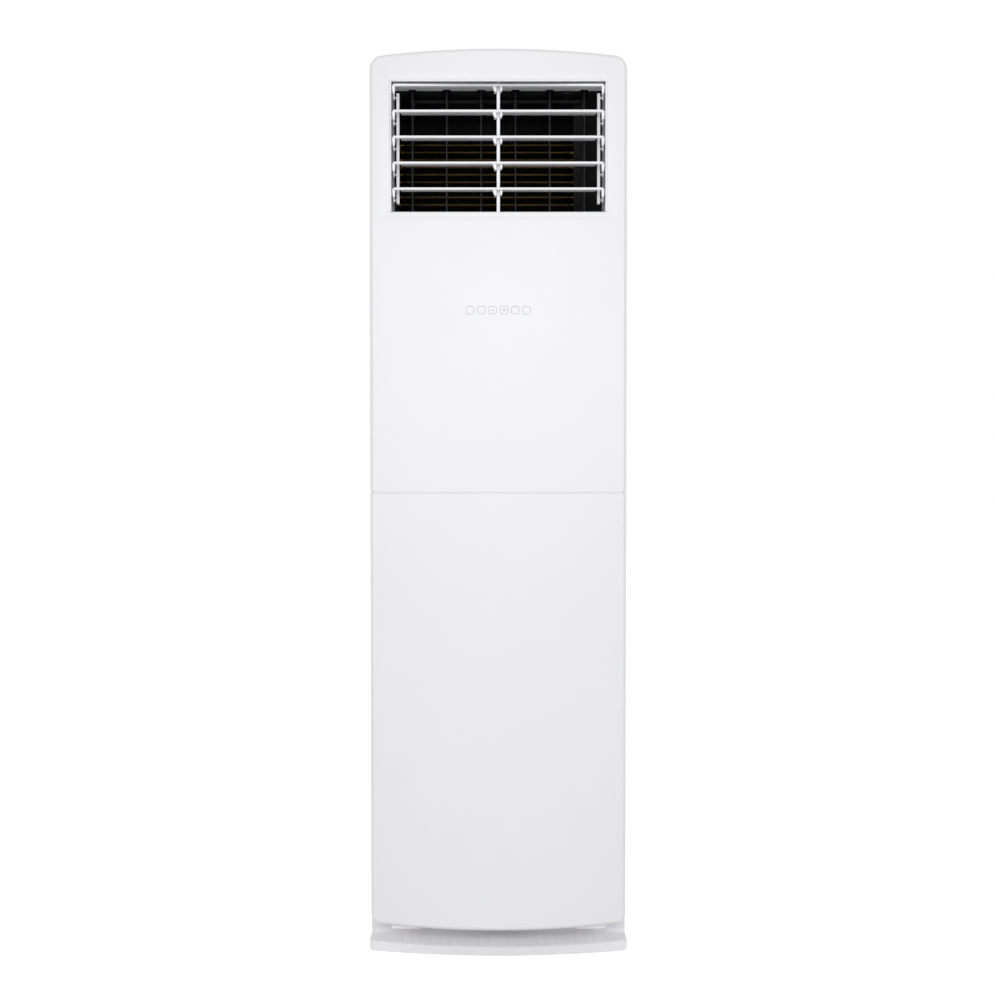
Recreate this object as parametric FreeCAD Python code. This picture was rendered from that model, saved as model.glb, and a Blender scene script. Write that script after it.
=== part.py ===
import FreeCAD, Part
import math
import os

# Floor standing air conditioner, indoor unit. Millimetres, +Z up, front faces -Y.
# Origin on the floor, under the middle of the object.

# Whole cabinet
height = 1750.0
panel_width = 502.0
depth = 318.0
front_bow = 38.0
seam_height = 902.0
seam_gap = 2.0
shut_gap = 0.8
seat_clearance = 0.3
running_clearance = 0.05
overrun = 20.0

# Front panels, moulded plastic
panel_wall = 3.0
panel_return = 36.0
panel_edge_radius = 10.0
panel_top_corner = 24.0
panel_bottom_corner = 18.0
lower_panel_bottom = 53.5

# Air outlet window in the upper panel
outlet_side = 41.0
outlet_height = 254.0
outlet_drop = 50.5
outlet_bevel = 2.0
flange_wall = 2.5

# Touch keys, printed outlines set flush in the upper panel
key_count = 6
key_size = 15.4
key_corner = 4.5
key_line = 1.0
key_pitch = 21.7
key_drop = 194.5
key_print = 0.3

# Plinth, moulded plastic
plinth_proud = 2.5
plinth_height = 75.0
plinth_wall = 3.0
plinth_corner = 9.0
lip_height = 21.5
lip_bow = 37.0
lip_toe_in = 13.0
ledge_rib_count = 21
ledge_rib_pitch = 19.0
ledge_rib_width = 4.0
ledge_rib_height = 0.8
ledge_rib_setback = 3.0

# Hinge under the lower panel
tab_count = 3
tab_width = 47.0
tab_side = 70.0
tab_radius = 5.5
hinge_setback = 3.0
hinge_height = 47.5
hinge_pin_radius = 2.5
hinge_lug_width = 5.0
hinge_lug_radius = 5.0
hinge_side_gap = 0.4

# Sheet steel cabinet
sheet = 1.2
cabinet_flange = 20.0
cap_height = 30.0
cap_wall = 2.5

# Base pan
pan_wall_height = 92.0
anchor_hole_radius = 6.0
anchor_side = 51.0
anchor_spacing_y = 160.0
anchor_middle_y = 36.0

# Intake grilles and filters in the sides
intake_width = 70.0
intake_height = 560.0
intake_bottom = 170.0
intake_front_gap = 14.0
grille_plate = 3.0
grille_rim = 2.0
grille_depth = 16.0
grille_slot_count = 40
grille_slot_height = 7.0
grille_slot_margin = 7.0
filter_frame = 6.0
filter_depth = 5.0
filter_mesh = 1.0

# Rear openings
pipe_hole_radius = 36.0
rear_hole_side = 61.0
rear_hole_z = 150.0
grommet_wall = 3.0
grommet_lip = 4.0
grommet_lip_depth = 1.5
gland_hole_radius = 11.0
gland_bore_radius = 5.0
gland_head_radius = 15.0
gland_head_depth = 1.6
gland_nut_depth = 6.0

# Screws of the back panel
screw_radius = 2.0
screw_head_radius = 4.0
screw_head_depth = 1.8
screw_length = 9.0
screw_rows = 5
screw_margin = 30.0

# Outlet duct
duct_depth = 96.0
duct_wall = 2.5
duct_headroom = 16.5
duct_flange = 2.2

# Louvers, tilted together by two link bars
louver_count = 5
louver_pitch = 49.9
louver_drop = 10.0
louver_inset = 0.6
louver_chord = 38.0
louver_nose_radius = 2.5
louver_tail_radius = 1.0
louver_tilt_deg = 8.0
louver_side_gap = 4.0
louver_ear = 3.0
louver_ear_radius = 4.5
louver_ear_chord = 18.0
louver_pivot_back = 16.0
louver_pivot_drop = 7.0
louver_pin_radius = 2.0
louver_end_chord = 10.0
louver_rib_chord = 7.0
link_arm_back = 15.0
link_arm_drop = 7.0
link_pin_radius = 1.5
link_loose_clearance = 0.3
link_width = 5.3
link_depth = 8.0
link_side_gap = 3.7
link_end = 7.5
link_notch_gap = 4.0
louver_motor_radius = 14.0
louver_motor_length = 18.0
louver_motor_offset = 8.0
louver_motor_grip = 7.0
motor_plate = 2.0
motor_plate_reach = 22.0
motor_plate_width = 18.0

# Upright rib that steadies the louvers in the middle
rib_width = 6.0
rib_depth = 32.0
rib_front_gap = 4.0
rib_side_gap = 2.0
rib_lug_front = 8.0
rib_lug_back = 26.0
rib_clip_radius = 3.0
rib_clip_width = 2.5

# Upright vanes, swung together by a tie bar and a crank
vane_count = 6
vane_side_gap = 39.0
vane_setback = 59.0
vane_chord = 36.0
vane_thickness = 2.5
vane_pivot_back = 11.0
vane_arm = 18.0
vane_notch_gap = 10.0
vane_pin_radius = 2.0
vane_pin_length = 9.0
vane_foot_pin_length = 4.0
vane_boss_radius = 3.2
vane_boss_height = 8.0
vane_end_gap = 0.4
rail_margin = 4.0
rail_drop = 16.0
rail_foot = 5.5
rail_scallop_radius = 60.0
rail_scallop_depth = 5.0
tie_width = 7.0
tie_thickness = 5.0
tie_gap = 0.5
tie_end = 7.0
crank_gap = 3.5
crank_thickness = 5.0
crank_lobe_radius = 5.0
crank_hub_radius = 7.0
crank_tail = 13.0
crank_shaft_radius = 2.5
swing_motor_radius = 14.0
swing_motor_height = 18.0
swing_motor_grip = 8.0

# Evaporator, leaning back behind the vanes
coil_left_gap = 51.0
coil_right_gap = 101.0
coil_setback = 99.0
coil_drop = 133.5
coil_lean_deg = 20.0
coil_rows = 2
coil_tubes_high = 20
coil_tube_pitch = 19.05
coil_row_pitch = 16.5
coil_tube_radius = 3.5
coil_row_margin = 9.75
coil_stagger_share = 0.5
coil_first_share = 0.25
coil_plate_margin = 2.0
coil_tube_end = 6.0
coil_foot_depth = 20.0

# Drain tray and hose
tray_front_gap = 8.0
tray_depth = 60.0
tray_right_gap = 61.0
tray_height = 20.0
tray_drop = 26.0
tray_wall = 2.5
spout_radius = 9.0
spout_bore_radius = 7.0
spout_length = 22.0
spout_inset = 12.0
spout_setback = 32.0
hose_radius = 10.5
hose_bottom = 240.0

# Refrigerant pipes
gas_pipe_radius = 6.35
liquid_pipe_radius = 4.76
pipe_side = 39.0
pipe_bend_radius = 20.0
pipe_bottom = 250.0
flare_nut_height = 22.0
flare_nut_wall = 5.0
pipe_hole_gap = 3.0

# Inner walls
guide_gap = 0.3
deck_drop = 22.0
deck_pipe_gap = 3.0

# Blower: scroll housing, front plate with a bell mouth, wheel and motor
blower_x = 5.0
blower_z = 470.0
scroll_side = 26.0
scroll_growth = 52.0
scroll_tongue_deg = 110.0
scroll_sweep_deg = 290.0
scroll_depth = 132.0
scroll_back_gap = 6.5
scroll_wall = 2.0
plate_thickness = 1.5
mouth_flare = 10.0
mouth_gap = 10.0
mouth_depth = 15.0
wheel_scroll_gap = 13.0
blade_depth = 30.0
wheel_ring_width = 15.0
wheel_ring_depth = 3.0
wheel_front_gap = 3.0
wheel_width = 76.0
wheel_disc = 2.5
wheel_hub_radius = 18.0
wheel_hub_depth = 16.0
blade_count = 36
blade_turn_deg = 9.0
blade_thick_deg = 0.8
shaft_radius = 6.0
shaft_front = 4.0
motor_radius = 62.0
motor_length = 30.0
motor_bore_depth = 24.0

# Electrical box on the air guide panel
box_half_width = 150.0
box_height = 240.0
box_depth = 45.0
box_lid = 1.2
board_left_gap = 20.0
board_width = 200.0
board_margin = 20.0
board_thickness = 1.6
standoff_radius = 3.0
standoff_height = 14.0
standoff_inset = 8.0
board_part_count = 3
board_part_height = 18.0
board_part_size = 34.0
board_part_lift = 60.0
terminal_gap = 16.0
terminal_width = 46.0
terminal_height = 90.0
terminal_depth = 22.0
terminal_slot_count = 5
terminal_slot_depth = 8.0
terminal_slot_share = 0.6

# Display board behind the keys
display_half_width = 75.0
display_height = 32.0

half_width = panel_width / 2
front_y = -depth / 2
back_y = depth / 2
edge_y = front_y + front_bow
panel_back_y = edge_y + panel_return
cabinet_front_y = panel_back_y + shut_gap
cabinet_back_y = back_y - plinth_proud
bow_radius = (half_width ** 2 + front_bow ** 2) / (2 * front_bow)
bow_centre_y = front_y + bow_radius
cap_bottom = height - cap_height
side_inner_x = half_width - sheet
outlet_width = panel_width - 2 * outlet_side
outlet_top = height - outlet_drop
key_height = outlet_top - outlet_height - key_drop
deck_height = seam_height - deck_drop
hinge_y = edge_y + hinge_setback


def vector(x, y, z):
    return FreeCAD.Vector(x, y, z)


def block(x_range, y_range, z_range):
    """A box between two faces on each axis."""
    corner = vector(x_range[0], y_range[0], z_range[0])
    return Part.makeBox(x_range[1] - x_range[0], y_range[1] - y_range[0], z_range[1] - z_range[0], corner)


def rod(radius, start, end):
    """A round bar from one point to another."""
    way = end.sub(start)
    return Part.makeCylinder(radius, way.Length, start, way)


def prism(points, way):
    """A straight-sided outline pulled along a direction."""
    return Part.Face(Part.makePolygon(points + points[:1])).extrude(way)


def mirrored(shape):
    """The same piece for the other side of the cabinet."""
    return shape.mirror(vector(0, 0, 0), vector(1, 0, 0))


def joined(*solids):
    """One solid from pieces that meet."""
    return solids[0].multiFuse(list(solids[1:])).removeSplitter()


def save(node, *solids):
    """Write one node, as one solid or a group of separate solids."""
    shape = solids[0] if len(solids) == 1 else Part.makeCompound(list(solids))
    shape.exportStep("parts/" + node + ".step")


def bow_y(x, offset):
    """Depth of the bowed front at a distance from the middle, a wall's offset behind the outer face."""
    return bow_centre_y - math.sqrt((bow_radius - offset) ** 2 - x ** 2)


def rounded_front(half, bottom, top, bottom_radius, top_radius, y_range):
    """A front view of a panel, with its own radius at the lower and upper corners, pulled in depth."""
    def corner(x_side, z_edge, radius, z_way):
        middle = vector(x_side * (half - radius), y_range[0], z_edge - z_way * radius)
        return [middle.add(vector(x_side * radius * math.cos(a), 0, z_way * radius * math.sin(a)))
                for a in (0, math.pi / 4, math.pi / 2)]

    rounds = [corner(1, bottom, bottom_radius, -1)[::-1], corner(1, top, top_radius, 1),
              corner(-1, top, top_radius, 1)[::-1], corner(-1, bottom, bottom_radius, -1)]
    edges = []
    for place, points in enumerate(rounds):
        if points[0].distanceToPoint(points[2]) > running_clearance:
            edges.append(Part.Arc(*points).toShape())
        following = rounds[(place + 1) % len(rounds)]
        edges.append(Part.makeLine(points[2], following[0]))
    return Part.Face(Part.Wire(edges)).extrude(vector(0, y_range[1] - y_range[0], 0))


def bowed_panel(offset, bottom, top, bottom_radius, top_radius, back):
    """The solid inside a bowed front panel's skin, its free edges rounded, a wall's offset inwards."""
    reach = (front_y - overrun, back)
    front = rounded_front(half_width - offset, bottom, top, bottom_radius, top_radius, reach)
    bow = Part.makeCylinder(bow_radius - offset, height + overrun, vector(0, bow_centre_y, 0))
    solid = front.common(bow).Solids[0]
    seam_z = top if bottom_radius else bottom

    def on_front(edge):
        places = [edge.valueAt(edge.FirstParameter + share * (edge.LastParameter - edge.FirstParameter))
                  for share in (0, 1 / 2, 1)]
        bowed = all(abs(place.y - bow_y(place.x, offset)) < running_clearance for place in places)
        at_seam = all(abs(place.z - seam_z) < running_clearance for place in places)
        return bowed and not at_seam

    rounded = solid.makeFillet(panel_edge_radius - offset, [edge for edge in solid.Edges if on_front(edge)])
    return rounded.Solids[0]


def panel_shell(bottom, top, bottom_radius, top_radius):
    """A moulded front panel, open at the back."""
    outer = bowed_panel(0, bottom, top, bottom_radius, top_radius, panel_back_y)
    inner_bottom = max(bottom_radius - panel_wall, 0)
    inner_top = max(top_radius - panel_wall, 0)
    inner = bowed_panel(panel_wall, bottom + panel_wall, top - panel_wall, inner_bottom, inner_top,
                        panel_back_y + overrun)
    return outer, outer.cut(inner).Solids[0]


def key_outlines():
    """The six square key outlines, pulled through the panel."""
    rings = []
    first_x = -key_pitch * (key_count - 1) / 2
    for place in range(key_count):
        middle_x = first_x + place * key_pitch
        reach = (front_y - overrun, edge_y)
        low = key_height - key_size / 2
        high = key_height + key_size / 2
        outer = rounded_front(key_size / 2, low, high, key_corner, key_corner, reach)
        inner = rounded_front(key_size / 2 - key_line, low + key_line, high - key_line,
                              key_corner - key_line, key_corner - key_line, reach)
        ring = outer.cut(inner)
        ring.translate(vector(middle_x, 0, 0))
        rings.append(ring)
    return rings


# Upper front panel, with its outlet flange and the seats of the key outlines
window_x = (-outlet_width / 2, outlet_width / 2)
window_z = (outlet_top - outlet_height, outlet_top)
rim_y = bow_y(outlet_width / 2, 0) + panel_wall


def make_upper_panel():
    outer, shell = panel_shell(seam_height + seam_gap / 2, height, 0, panel_top_corner)
    flange = block((window_x[0] - flange_wall, window_x[1] + flange_wall), (front_y, rim_y),
                   (window_z[0] - flange_wall, window_z[1] + flange_wall)).common(outer)
    window = block(window_x, (front_y - overrun, panel_back_y), window_z)
    panel = joined(shell, flange).cut(window)

    def on_window(edge):
        middle = edge.valueAt((edge.FirstParameter + edge.LastParameter) / 2)
        bowed = abs(middle.y - bow_y(middle.x, 0)) < running_clearance
        beside = abs(abs(middle.x) - outlet_width / 2) < running_clearance
        level = min(abs(middle.z - window_z[0]), abs(middle.z - window_z[1])) < running_clearance
        return bowed and (beside or level) and window_z[0] <= middle.z + running_clearance

    panel = panel.makeChamfer(outlet_bevel, [edge for edge in panel.Edges if on_window(edge)])
    foot = vector(0, bow_centre_y, seam_height)
    skin = Part.makeCylinder(bow_radius, height - seam_height, foot)
    skin = skin.cut(Part.makeCylinder(bow_radius - key_print, height - seam_height, foot))
    outlines = [ring.common(skin) for ring in key_outlines()]
    save("upper_front_panel", panel.cut(outlines))
    save("touch_key_outlines", *[outline.Solids[0] for outline in outlines])


# Lower front panel, with the lugs and pins that it tilts on
def tab_places():
    reach = half_width - tab_side
    return [-reach + 2 * reach * place / (tab_count - 1) for place in range(tab_count)]


def hinge_point(x):
    return vector(x, hinge_y, hinge_height)


def make_lower_panel():
    top = seam_height - seam_gap / 2
    shell = panel_shell(lower_panel_bottom, top, panel_bottom_corner, 0)[1]
    lugs = []
    bores = []
    pins = []
    for middle_x in tab_places():
        for side in (-1, 1):
            near = middle_x + side * (tab_width / 2 + hinge_side_gap)
            far = near + side * hinge_lug_width
            lugs.append(rod(hinge_lug_radius, hinge_point(near), hinge_point(far)))
            lugs.append(block((min(near, far), max(near, far)),
                              (hinge_y - hinge_lug_radius, hinge_y + hinge_lug_radius),
                              (hinge_height, lower_panel_bottom + panel_wall / 2)))
        reach = tab_width / 2 + hinge_side_gap + hinge_lug_width
        ends = [hinge_point(middle_x - reach), hinge_point(middle_x + reach)]
        pins.append(rod(hinge_pin_radius, *ends))
        bores.append(rod(hinge_pin_radius + running_clearance, *ends))
    save("lower_front_panel", joined(shell, *lugs).cut(bores))
    save("lower_panel_hinge_pins", *pins)


def make_support_tabs():
    tabs = []
    for middle_x in tab_places():
        ends = [hinge_point(middle_x - tab_width / 2), hinge_point(middle_x + tab_width / 2)]
        arm = block((ends[0].x, ends[1].x), (hinge_y, cabinet_front_y),
                    (hinge_height - tab_radius, hinge_height))
        bore = rod(hinge_pin_radius + running_clearance, *ends)
        tabs.append(joined(arm, rod(tab_radius, *ends)).cut(bore))
    save("panel_support_tabs", *tabs)


# Plinth: a bowed lip, a ribbed ledge behind it and an upright rim round the foot of the cabinet
def lip_wire(offset, bow, level):
    half = half_width + plinth_proud - offset
    left = vector(-half, edge_y + offset, level)
    right = vector(half, edge_y + offset, level)
    back = back_y - offset
    return Part.Wire([Part.Arc(left, vector(0, edge_y + offset - bow, level), right).toShape(),
                      Part.makeLine(right, vector(half, back, level)),
                      Part.makeLine(vector(half, back, level), vector(-half, back, level)),
                      Part.makeLine(vector(-half, back, level), left)])


def plinth_mass(offset, floor):
    half = half_width + plinth_proud - offset
    back = back_y - offset
    rim_y = cabinet_front_y + offset
    rim_top = plinth_height + (overrun if offset else 0)
    lip = Part.makeLoft([lip_wire(offset, lip_bow - lip_toe_in, floor),
                         lip_wire(offset, lip_bow, lip_height - offset)], True, True)
    rim = block((-half, half), (rim_y, back), (floor, rim_top))
    return joined(lip, rim)


def make_plinth():
    half = half_width + plinth_proud
    reach = (front_y - overrun, back_y + overrun)
    front_view = rounded_front(half, 0, plinth_height, plinth_corner, 0, reach)
    shell = plinth_mass(0, 0).common(front_view).cut(plinth_mass(plinth_wall, -overrun))
    ribs = []
    for place in range(ledge_rib_count):
        middle_x = (place - (ledge_rib_count - 1) / 2) * ledge_rib_pitch
        share = 1 - (middle_x / half) ** 2
        front = edge_y - lip_bow * share + ledge_rib_setback
        ribs.append(block((middle_x - ledge_rib_width / 2, middle_x + ledge_rib_width / 2),
                          (front, cabinet_front_y),
                          (lip_height - plinth_wall / 2, lip_height + ledge_rib_height)))
    save("plinth", joined(shell, *ribs))


# Base pan: the steel tray that stands on the floor inside the plinth and carries the cabinet
pan_half = side_inner_x - seat_clearance
pan_front_y = cabinet_front_y + plinth_wall + seat_clearance
pan_back_y = cabinet_back_y - sheet - sheet - seat_clearance


def make_base_pan():
    outer = block((-pan_half, pan_half), (pan_front_y, pan_back_y), (0, pan_wall_height))
    inner = block((-pan_half + sheet, pan_half - sheet), (pan_front_y + sheet, pan_back_y - sheet),
                  (sheet, pan_wall_height + overrun))
    holes = [rod(anchor_hole_radius, vector(x, y, -overrun), vector(x, y, overrun))
             for x in (anchor_side - half_width, half_width - anchor_side)
             for y in (anchor_middle_y - anchor_spacing_y / 2, anchor_middle_y + anchor_spacing_y / 2)]
    save("base_pan", outer.cut([inner] + holes))


# Side panels, folded from sheet, with an opening low down for the air intake
intake_y = (cabinet_front_y + intake_front_gap, cabinet_front_y + intake_front_gap + intake_width)
intake_z = (intake_bottom, intake_bottom + intake_height)


def screw_places():
    reach = cap_bottom - plinth_height - 2 * screw_margin
    heights = [plinth_height + screw_margin + reach * place / (screw_rows - 1) for place in range(screw_rows)]
    return [(side * (side_inner_x - cabinet_flange / 2), z) for side in (-1, 1) for z in heights]


pipe_hole_x = half_width - rear_hole_side
gland_hole_x = rear_hole_side - half_width


def rear_hole(radius, x, z):
    """A round cut through whatever lies at the back."""
    return rod(radius, vector(x, 0, z), vector(x, back_y, z))


def screw_holes():
    return [rear_hole(screw_radius + running_clearance, x, z) for x, z in screw_places()]


def make_side_panels():
    side_z = (plinth_height, cap_bottom)
    skin = block((side_inner_x, half_width), (cabinet_front_y, cabinet_back_y - sheet), side_z)
    flange_x = (side_inner_x - cabinet_flange, side_inner_x)
    front_flange = block(flange_x, (cabinet_front_y, cabinet_front_y + sheet), side_z)
    rear_flange = block(flange_x, (cabinet_back_y - sheet - sheet, cabinet_back_y - sheet), side_z)
    opening = block((side_inner_x - overrun, half_width + overrun), intake_y, intake_z)
    panel = joined(skin, front_flange, rear_flange).cut([opening] + screw_holes())
    save("side_panel_right", panel)
    save("side_panel_left", mirrored(panel))


def make_back_panel():
    skin = block((-half_width, half_width), (cabinet_back_y - sheet, cabinet_back_y),
                 (plinth_height, cap_bottom))
    fittings = [rear_hole(pipe_hole_radius, pipe_hole_x, rear_hole_z),
                rear_hole(gland_hole_radius, gland_hole_x, rear_hole_z)]
    save("back_panel", skin.cut(screw_holes() + fittings))


def make_cabinet_screws():
    screws = []
    for x, z in screw_places():
        tip = vector(x, cabinet_back_y - screw_length, z)
        seat = vector(x, cabinet_back_y, z)
        crown = vector(x, cabinet_back_y + screw_head_depth, z)
        screws.append(joined(rod(screw_radius, tip, seat), rod(screw_head_radius, seat, crown)))
    save("cabinet_screws", *screws)


def make_top_cover():
    reach = (cabinet_front_y, cabinet_back_y)
    outer = rounded_front(half_width, cap_bottom, height, 0, panel_top_corner, reach)
    inner = rounded_front(half_width - cap_wall, cap_bottom - overrun, height - cap_wall, 0,
                          panel_top_corner - cap_wall, (reach[0] + cap_wall, reach[1] - cap_wall))
    save("top_cover", outer.cut(inner))


# Outlet duct: a grey box behind the window, hung on the cabinet's front flanges
duct_front_y = bow_y(outlet_width / 2 + duct_wall, panel_wall) + seat_clearance
duct_back_y = duct_front_y + duct_depth
duct_ceiling = outlet_top + duct_headroom
louver_front_y = bow_y(outlet_width / 2, 0) + louver_inset
louver_pivot_y = louver_front_y + louver_pivot_back
link_y = louver_pivot_y + link_arm_back
vane_front_y = louver_front_y + vane_setback
vane_pivot_y = vane_front_y + vane_pivot_back
tie_y = vane_pivot_y + vane_arm
louver_noses = [outlet_top - louver_drop - place * louver_pitch for place in range(louver_count)]
vane_pitch = (outlet_width - 2 * vane_side_gap) / (vane_count - 1)
vane_places = [(place - (vane_count - 1) / 2) * vane_pitch for place in range(vane_count)]
crank_x = (vane_places[-2] + vane_places[-1]) / 2


def louver_bores(reach):
    """Cuts for the louvers' pivot pins, to a distance either side of the middle."""
    heights = [nose - louver_pivot_drop for nose in louver_noses]
    return [rod(louver_pin_radius + running_clearance, vector(-reach, louver_pivot_y, z),
                vector(reach, louver_pivot_y, z)) for z in heights]


def crank_bore():
    return rod(crank_shaft_radius + link_loose_clearance, vector(crank_x, vane_pivot_y, outlet_top - overrun),
               vector(crank_x, vane_pivot_y, height))


def make_duct():
    outer = block((window_x[0] - duct_wall, window_x[1] + duct_wall), (duct_front_y, duct_back_y),
                  (window_z[0] - duct_wall, duct_ceiling + duct_wall))
    flange_half = half_width - panel_wall - seat_clearance
    flange_back = cabinet_front_y - seat_clearance
    flange = block((-flange_half, flange_half), (flange_back - duct_flange, flange_back),
                   (window_z[0] - duct_wall, duct_ceiling + duct_wall))
    inner = block(window_x, (duct_front_y - overrun, duct_back_y + overrun), (window_z[0], duct_ceiling))
    lintel = block(window_x, (duct_front_y, duct_front_y + duct_wall), (outlet_top, duct_ceiling))
    bores = louver_bores(half_width) + [crank_bore()]
    save("outlet_duct", joined(joined(outer, flange).cut(inner), lintel).cut(bores))


# Louvers: tapered blades with a round nose, notched where the link bars and the middle rib pass
def louver_point(u, w, nose, x):
    tilt = math.radians(louver_tilt_deg)
    return vector(x, louver_front_y + u * math.cos(tilt) - w * math.sin(tilt),
                  nose + u * math.sin(tilt) + w * math.cos(tilt))


def louver_blade(nose, chord, x_range):
    narrowing = louver_nose_radius - louver_tail_radius
    taper = narrowing / (louver_chord - louver_nose_radius - louver_tail_radius)
    tail = chord - louver_tail_radius
    half = louver_nose_radius - taper * (tail - louver_nose_radius)
    corners = [louver_point(louver_nose_radius, louver_nose_radius, nose, x_range[0]),
               louver_point(0, 0, nose, x_range[0]),
               louver_point(louver_nose_radius, -louver_nose_radius, nose, x_range[0]),
               louver_point(tail, -half, nose, x_range[0]),
               louver_point(chord, 0, nose, x_range[0]),
               louver_point(tail, half, nose, x_range[0])]
    wire = Part.Wire([Part.Arc(*corners[:3]).toShape(), Part.makeLine(corners[2], corners[3]),
                      Part.Arc(*corners[3:]).toShape(), Part.makeLine(corners[5], corners[0])])
    return Part.Face(wire).extrude(vector(x_range[1] - x_range[0], 0, 0))


louver_ear_x = outlet_width / 2 - louver_side_gap - louver_ear
link_x = (louver_ear_x - link_side_gap - link_width, louver_ear_x - link_side_gap)


def make_louvers():
    notch_x = link_x[0] - link_notch_gap
    rib_notch = rib_width / 2 + rib_side_gap
    for place, nose in enumerate(louver_noses):
        pivot_z = nose - louver_pivot_drop
        link_z = pivot_z - link_arm_drop
        pieces = [louver_blade(nose, louver_rib_chord, (-rib_notch, rib_notch))]
        for side in (-1, 1):
            def across(near, far):
                return (min(side * near, side * far), max(side * near, side * far))

            pieces.append(louver_blade(nose, louver_chord, across(rib_notch, notch_x)))
            pieces.append(louver_blade(nose, louver_end_chord, across(notch_x, louver_ear_x)))
            ear_x = side * louver_ear_x
            ear_way = vector(side * louver_ear, 0, 0)
            pivot = vector(ear_x, louver_pivot_y, pivot_z)
            link = vector(ear_x, link_y, link_z)
            outline = [louver_point(louver_nose_radius, 0, nose, ear_x),
                       louver_point(louver_ear_chord, 0, nose, ear_x), link, pivot]
            pieces.append(prism(outline, ear_way))
            pieces.append(rod(louver_ear_radius, pivot, pivot.add(ear_way)))
            pieces.append(rod(louver_ear_radius, link, link.add(ear_way)))
            pin_reach = outlet_width / 2 + duct_wall + (louver_motor_grip if place == 0 and side < 0 else 0)
            pieces.append(rod(louver_pin_radius, pivot, vector(side * pin_reach, louver_pivot_y, pivot_z)))
            pieces.append(rod(link_pin_radius, link, vector(side * link_x[0], link_y, link_z)))
        lug_start = vector(-rib_notch - louver_ear, louver_pivot_y, pivot_z)
        lug_end = vector(-rib_notch, louver_pivot_y, pivot_z)
        lug = [louver_point(rib_lug_front, 0, nose, lug_start.x),
               louver_point(rib_lug_back, 0, nose, lug_start.x), lug_start]
        clip_start = vector(rib_width / 2 + seat_clearance, louver_pivot_y, pivot_z)
        clip_end = clip_start.add(vector(rib_clip_width, 0, 0))
        pieces.append(prism(lug, vector(louver_ear, 0, 0)))
        pieces.append(rod(louver_ear_radius, lug_start, lug_end))
        pieces.append(rod(louver_pin_radius, lug_end, clip_end))
        pieces.append(rod(rib_clip_radius, clip_start, clip_end))
        save("louver_" + str(place + 1), joined(*pieces))


def make_centre_rib():
    rib_front_y = louver_pivot_y - rib_front_gap
    rib_y = (rib_front_y, rib_front_y + rib_depth)
    rib = block((-rib_width / 2, rib_width / 2), rib_y, (window_z[0], duct_ceiling))
    save("outlet_centre_rib", rib.cut(louver_bores(rib_width)))


def make_louver_links():
    link_heights = [nose - louver_pivot_drop - link_arm_drop for nose in louver_noses]
    bar = block(link_x, (link_y - link_depth / 2, link_y + link_depth / 2),
                (link_heights[-1] - link_end, link_heights[0] + link_end))
    bores = []
    for place, z in enumerate(link_heights):
        clearance = running_clearance if place == 0 else link_loose_clearance
        bores.append(rod(link_pin_radius + clearance, vector(0, link_y, z), vector(half_width, link_y, z)))
    bar = bar.cut(bores)
    save("louver_link_right", bar)
    save("louver_link_left", mirrored(bar))


def make_louver_motor():
    wall_x = -(outlet_width / 2 + duct_wall)
    axis_z = louver_noses[0] - louver_pivot_drop
    start = vector(wall_x, louver_pivot_y, axis_z)
    can_start = start.add(vector(0, louver_motor_offset, 0))
    can = rod(louver_motor_radius, can_start, can_start.sub(vector(louver_motor_length, 0, 0)))
    plate = block((wall_x - motor_plate, wall_x),
                  (louver_pivot_y - motor_plate_width / 2, louver_pivot_y + motor_plate_width / 2),
                  (axis_z - motor_plate_reach, axis_z + motor_plate_reach))
    bore_end = start.sub(vector(louver_motor_grip + seat_clearance, 0, 0))
    bore = rod(louver_pin_radius + running_clearance, start, bore_end)
    save("louver_motor", joined(can, plate).cut(bore))


# Upright vanes between two rails, with the tie bar and the swing drive
rail_bottom = duct_ceiling - rail_drop
rail_y = (vane_front_y - rail_margin, vane_front_y + vane_chord + rail_margin)
rail_x = (window_x[0] + seat_clearance, window_x[1] - seat_clearance)
crank_z = (rail_bottom - crank_gap - crank_thickness, rail_bottom - crank_gap)
tie_z = (crank_z[0] - tie_gap - tie_thickness, crank_z[0] - tie_gap)
vane_z = (window_z[0] + rail_foot + vane_end_gap, rail_bottom - vane_end_gap)


def make_vane_rails():
    top = block(rail_x, rail_y, (rail_bottom, duct_ceiling))
    gap_middles = [(place - vane_count / 2) * vane_pitch for place in range(vane_count + 1)]
    scallop_z = rail_bottom + rail_scallop_depth - rail_scallop_radius
    scallops = [rod(rail_scallop_radius, vector(x, rail_y[0], scallop_z), vector(x, rail_y[1], scallop_z))
                for x in gap_middles[1:-1]]
    pin_top = vane_z[1] + vane_pin_length + vane_end_gap
    top_bores = [rod(vane_pin_radius + running_clearance, vector(x, vane_pivot_y, outlet_top - overrun),
                     vector(x, vane_pivot_y, pin_top)) for x in vane_places]
    save("vane_rail_top", top.cut(scallops + top_bores + [crank_bore()]).Solids[0])
    foot = block(rail_x, rail_y, (window_z[0], window_z[0] + rail_foot))
    foot_bores = [rod(vane_pin_radius + running_clearance, vector(x, vane_pivot_y, window_z[0]),
                      vector(x, vane_pivot_y, outlet_top)) for x in vane_places]
    save("vane_rail_bottom", foot.cut(foot_bores))


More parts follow.
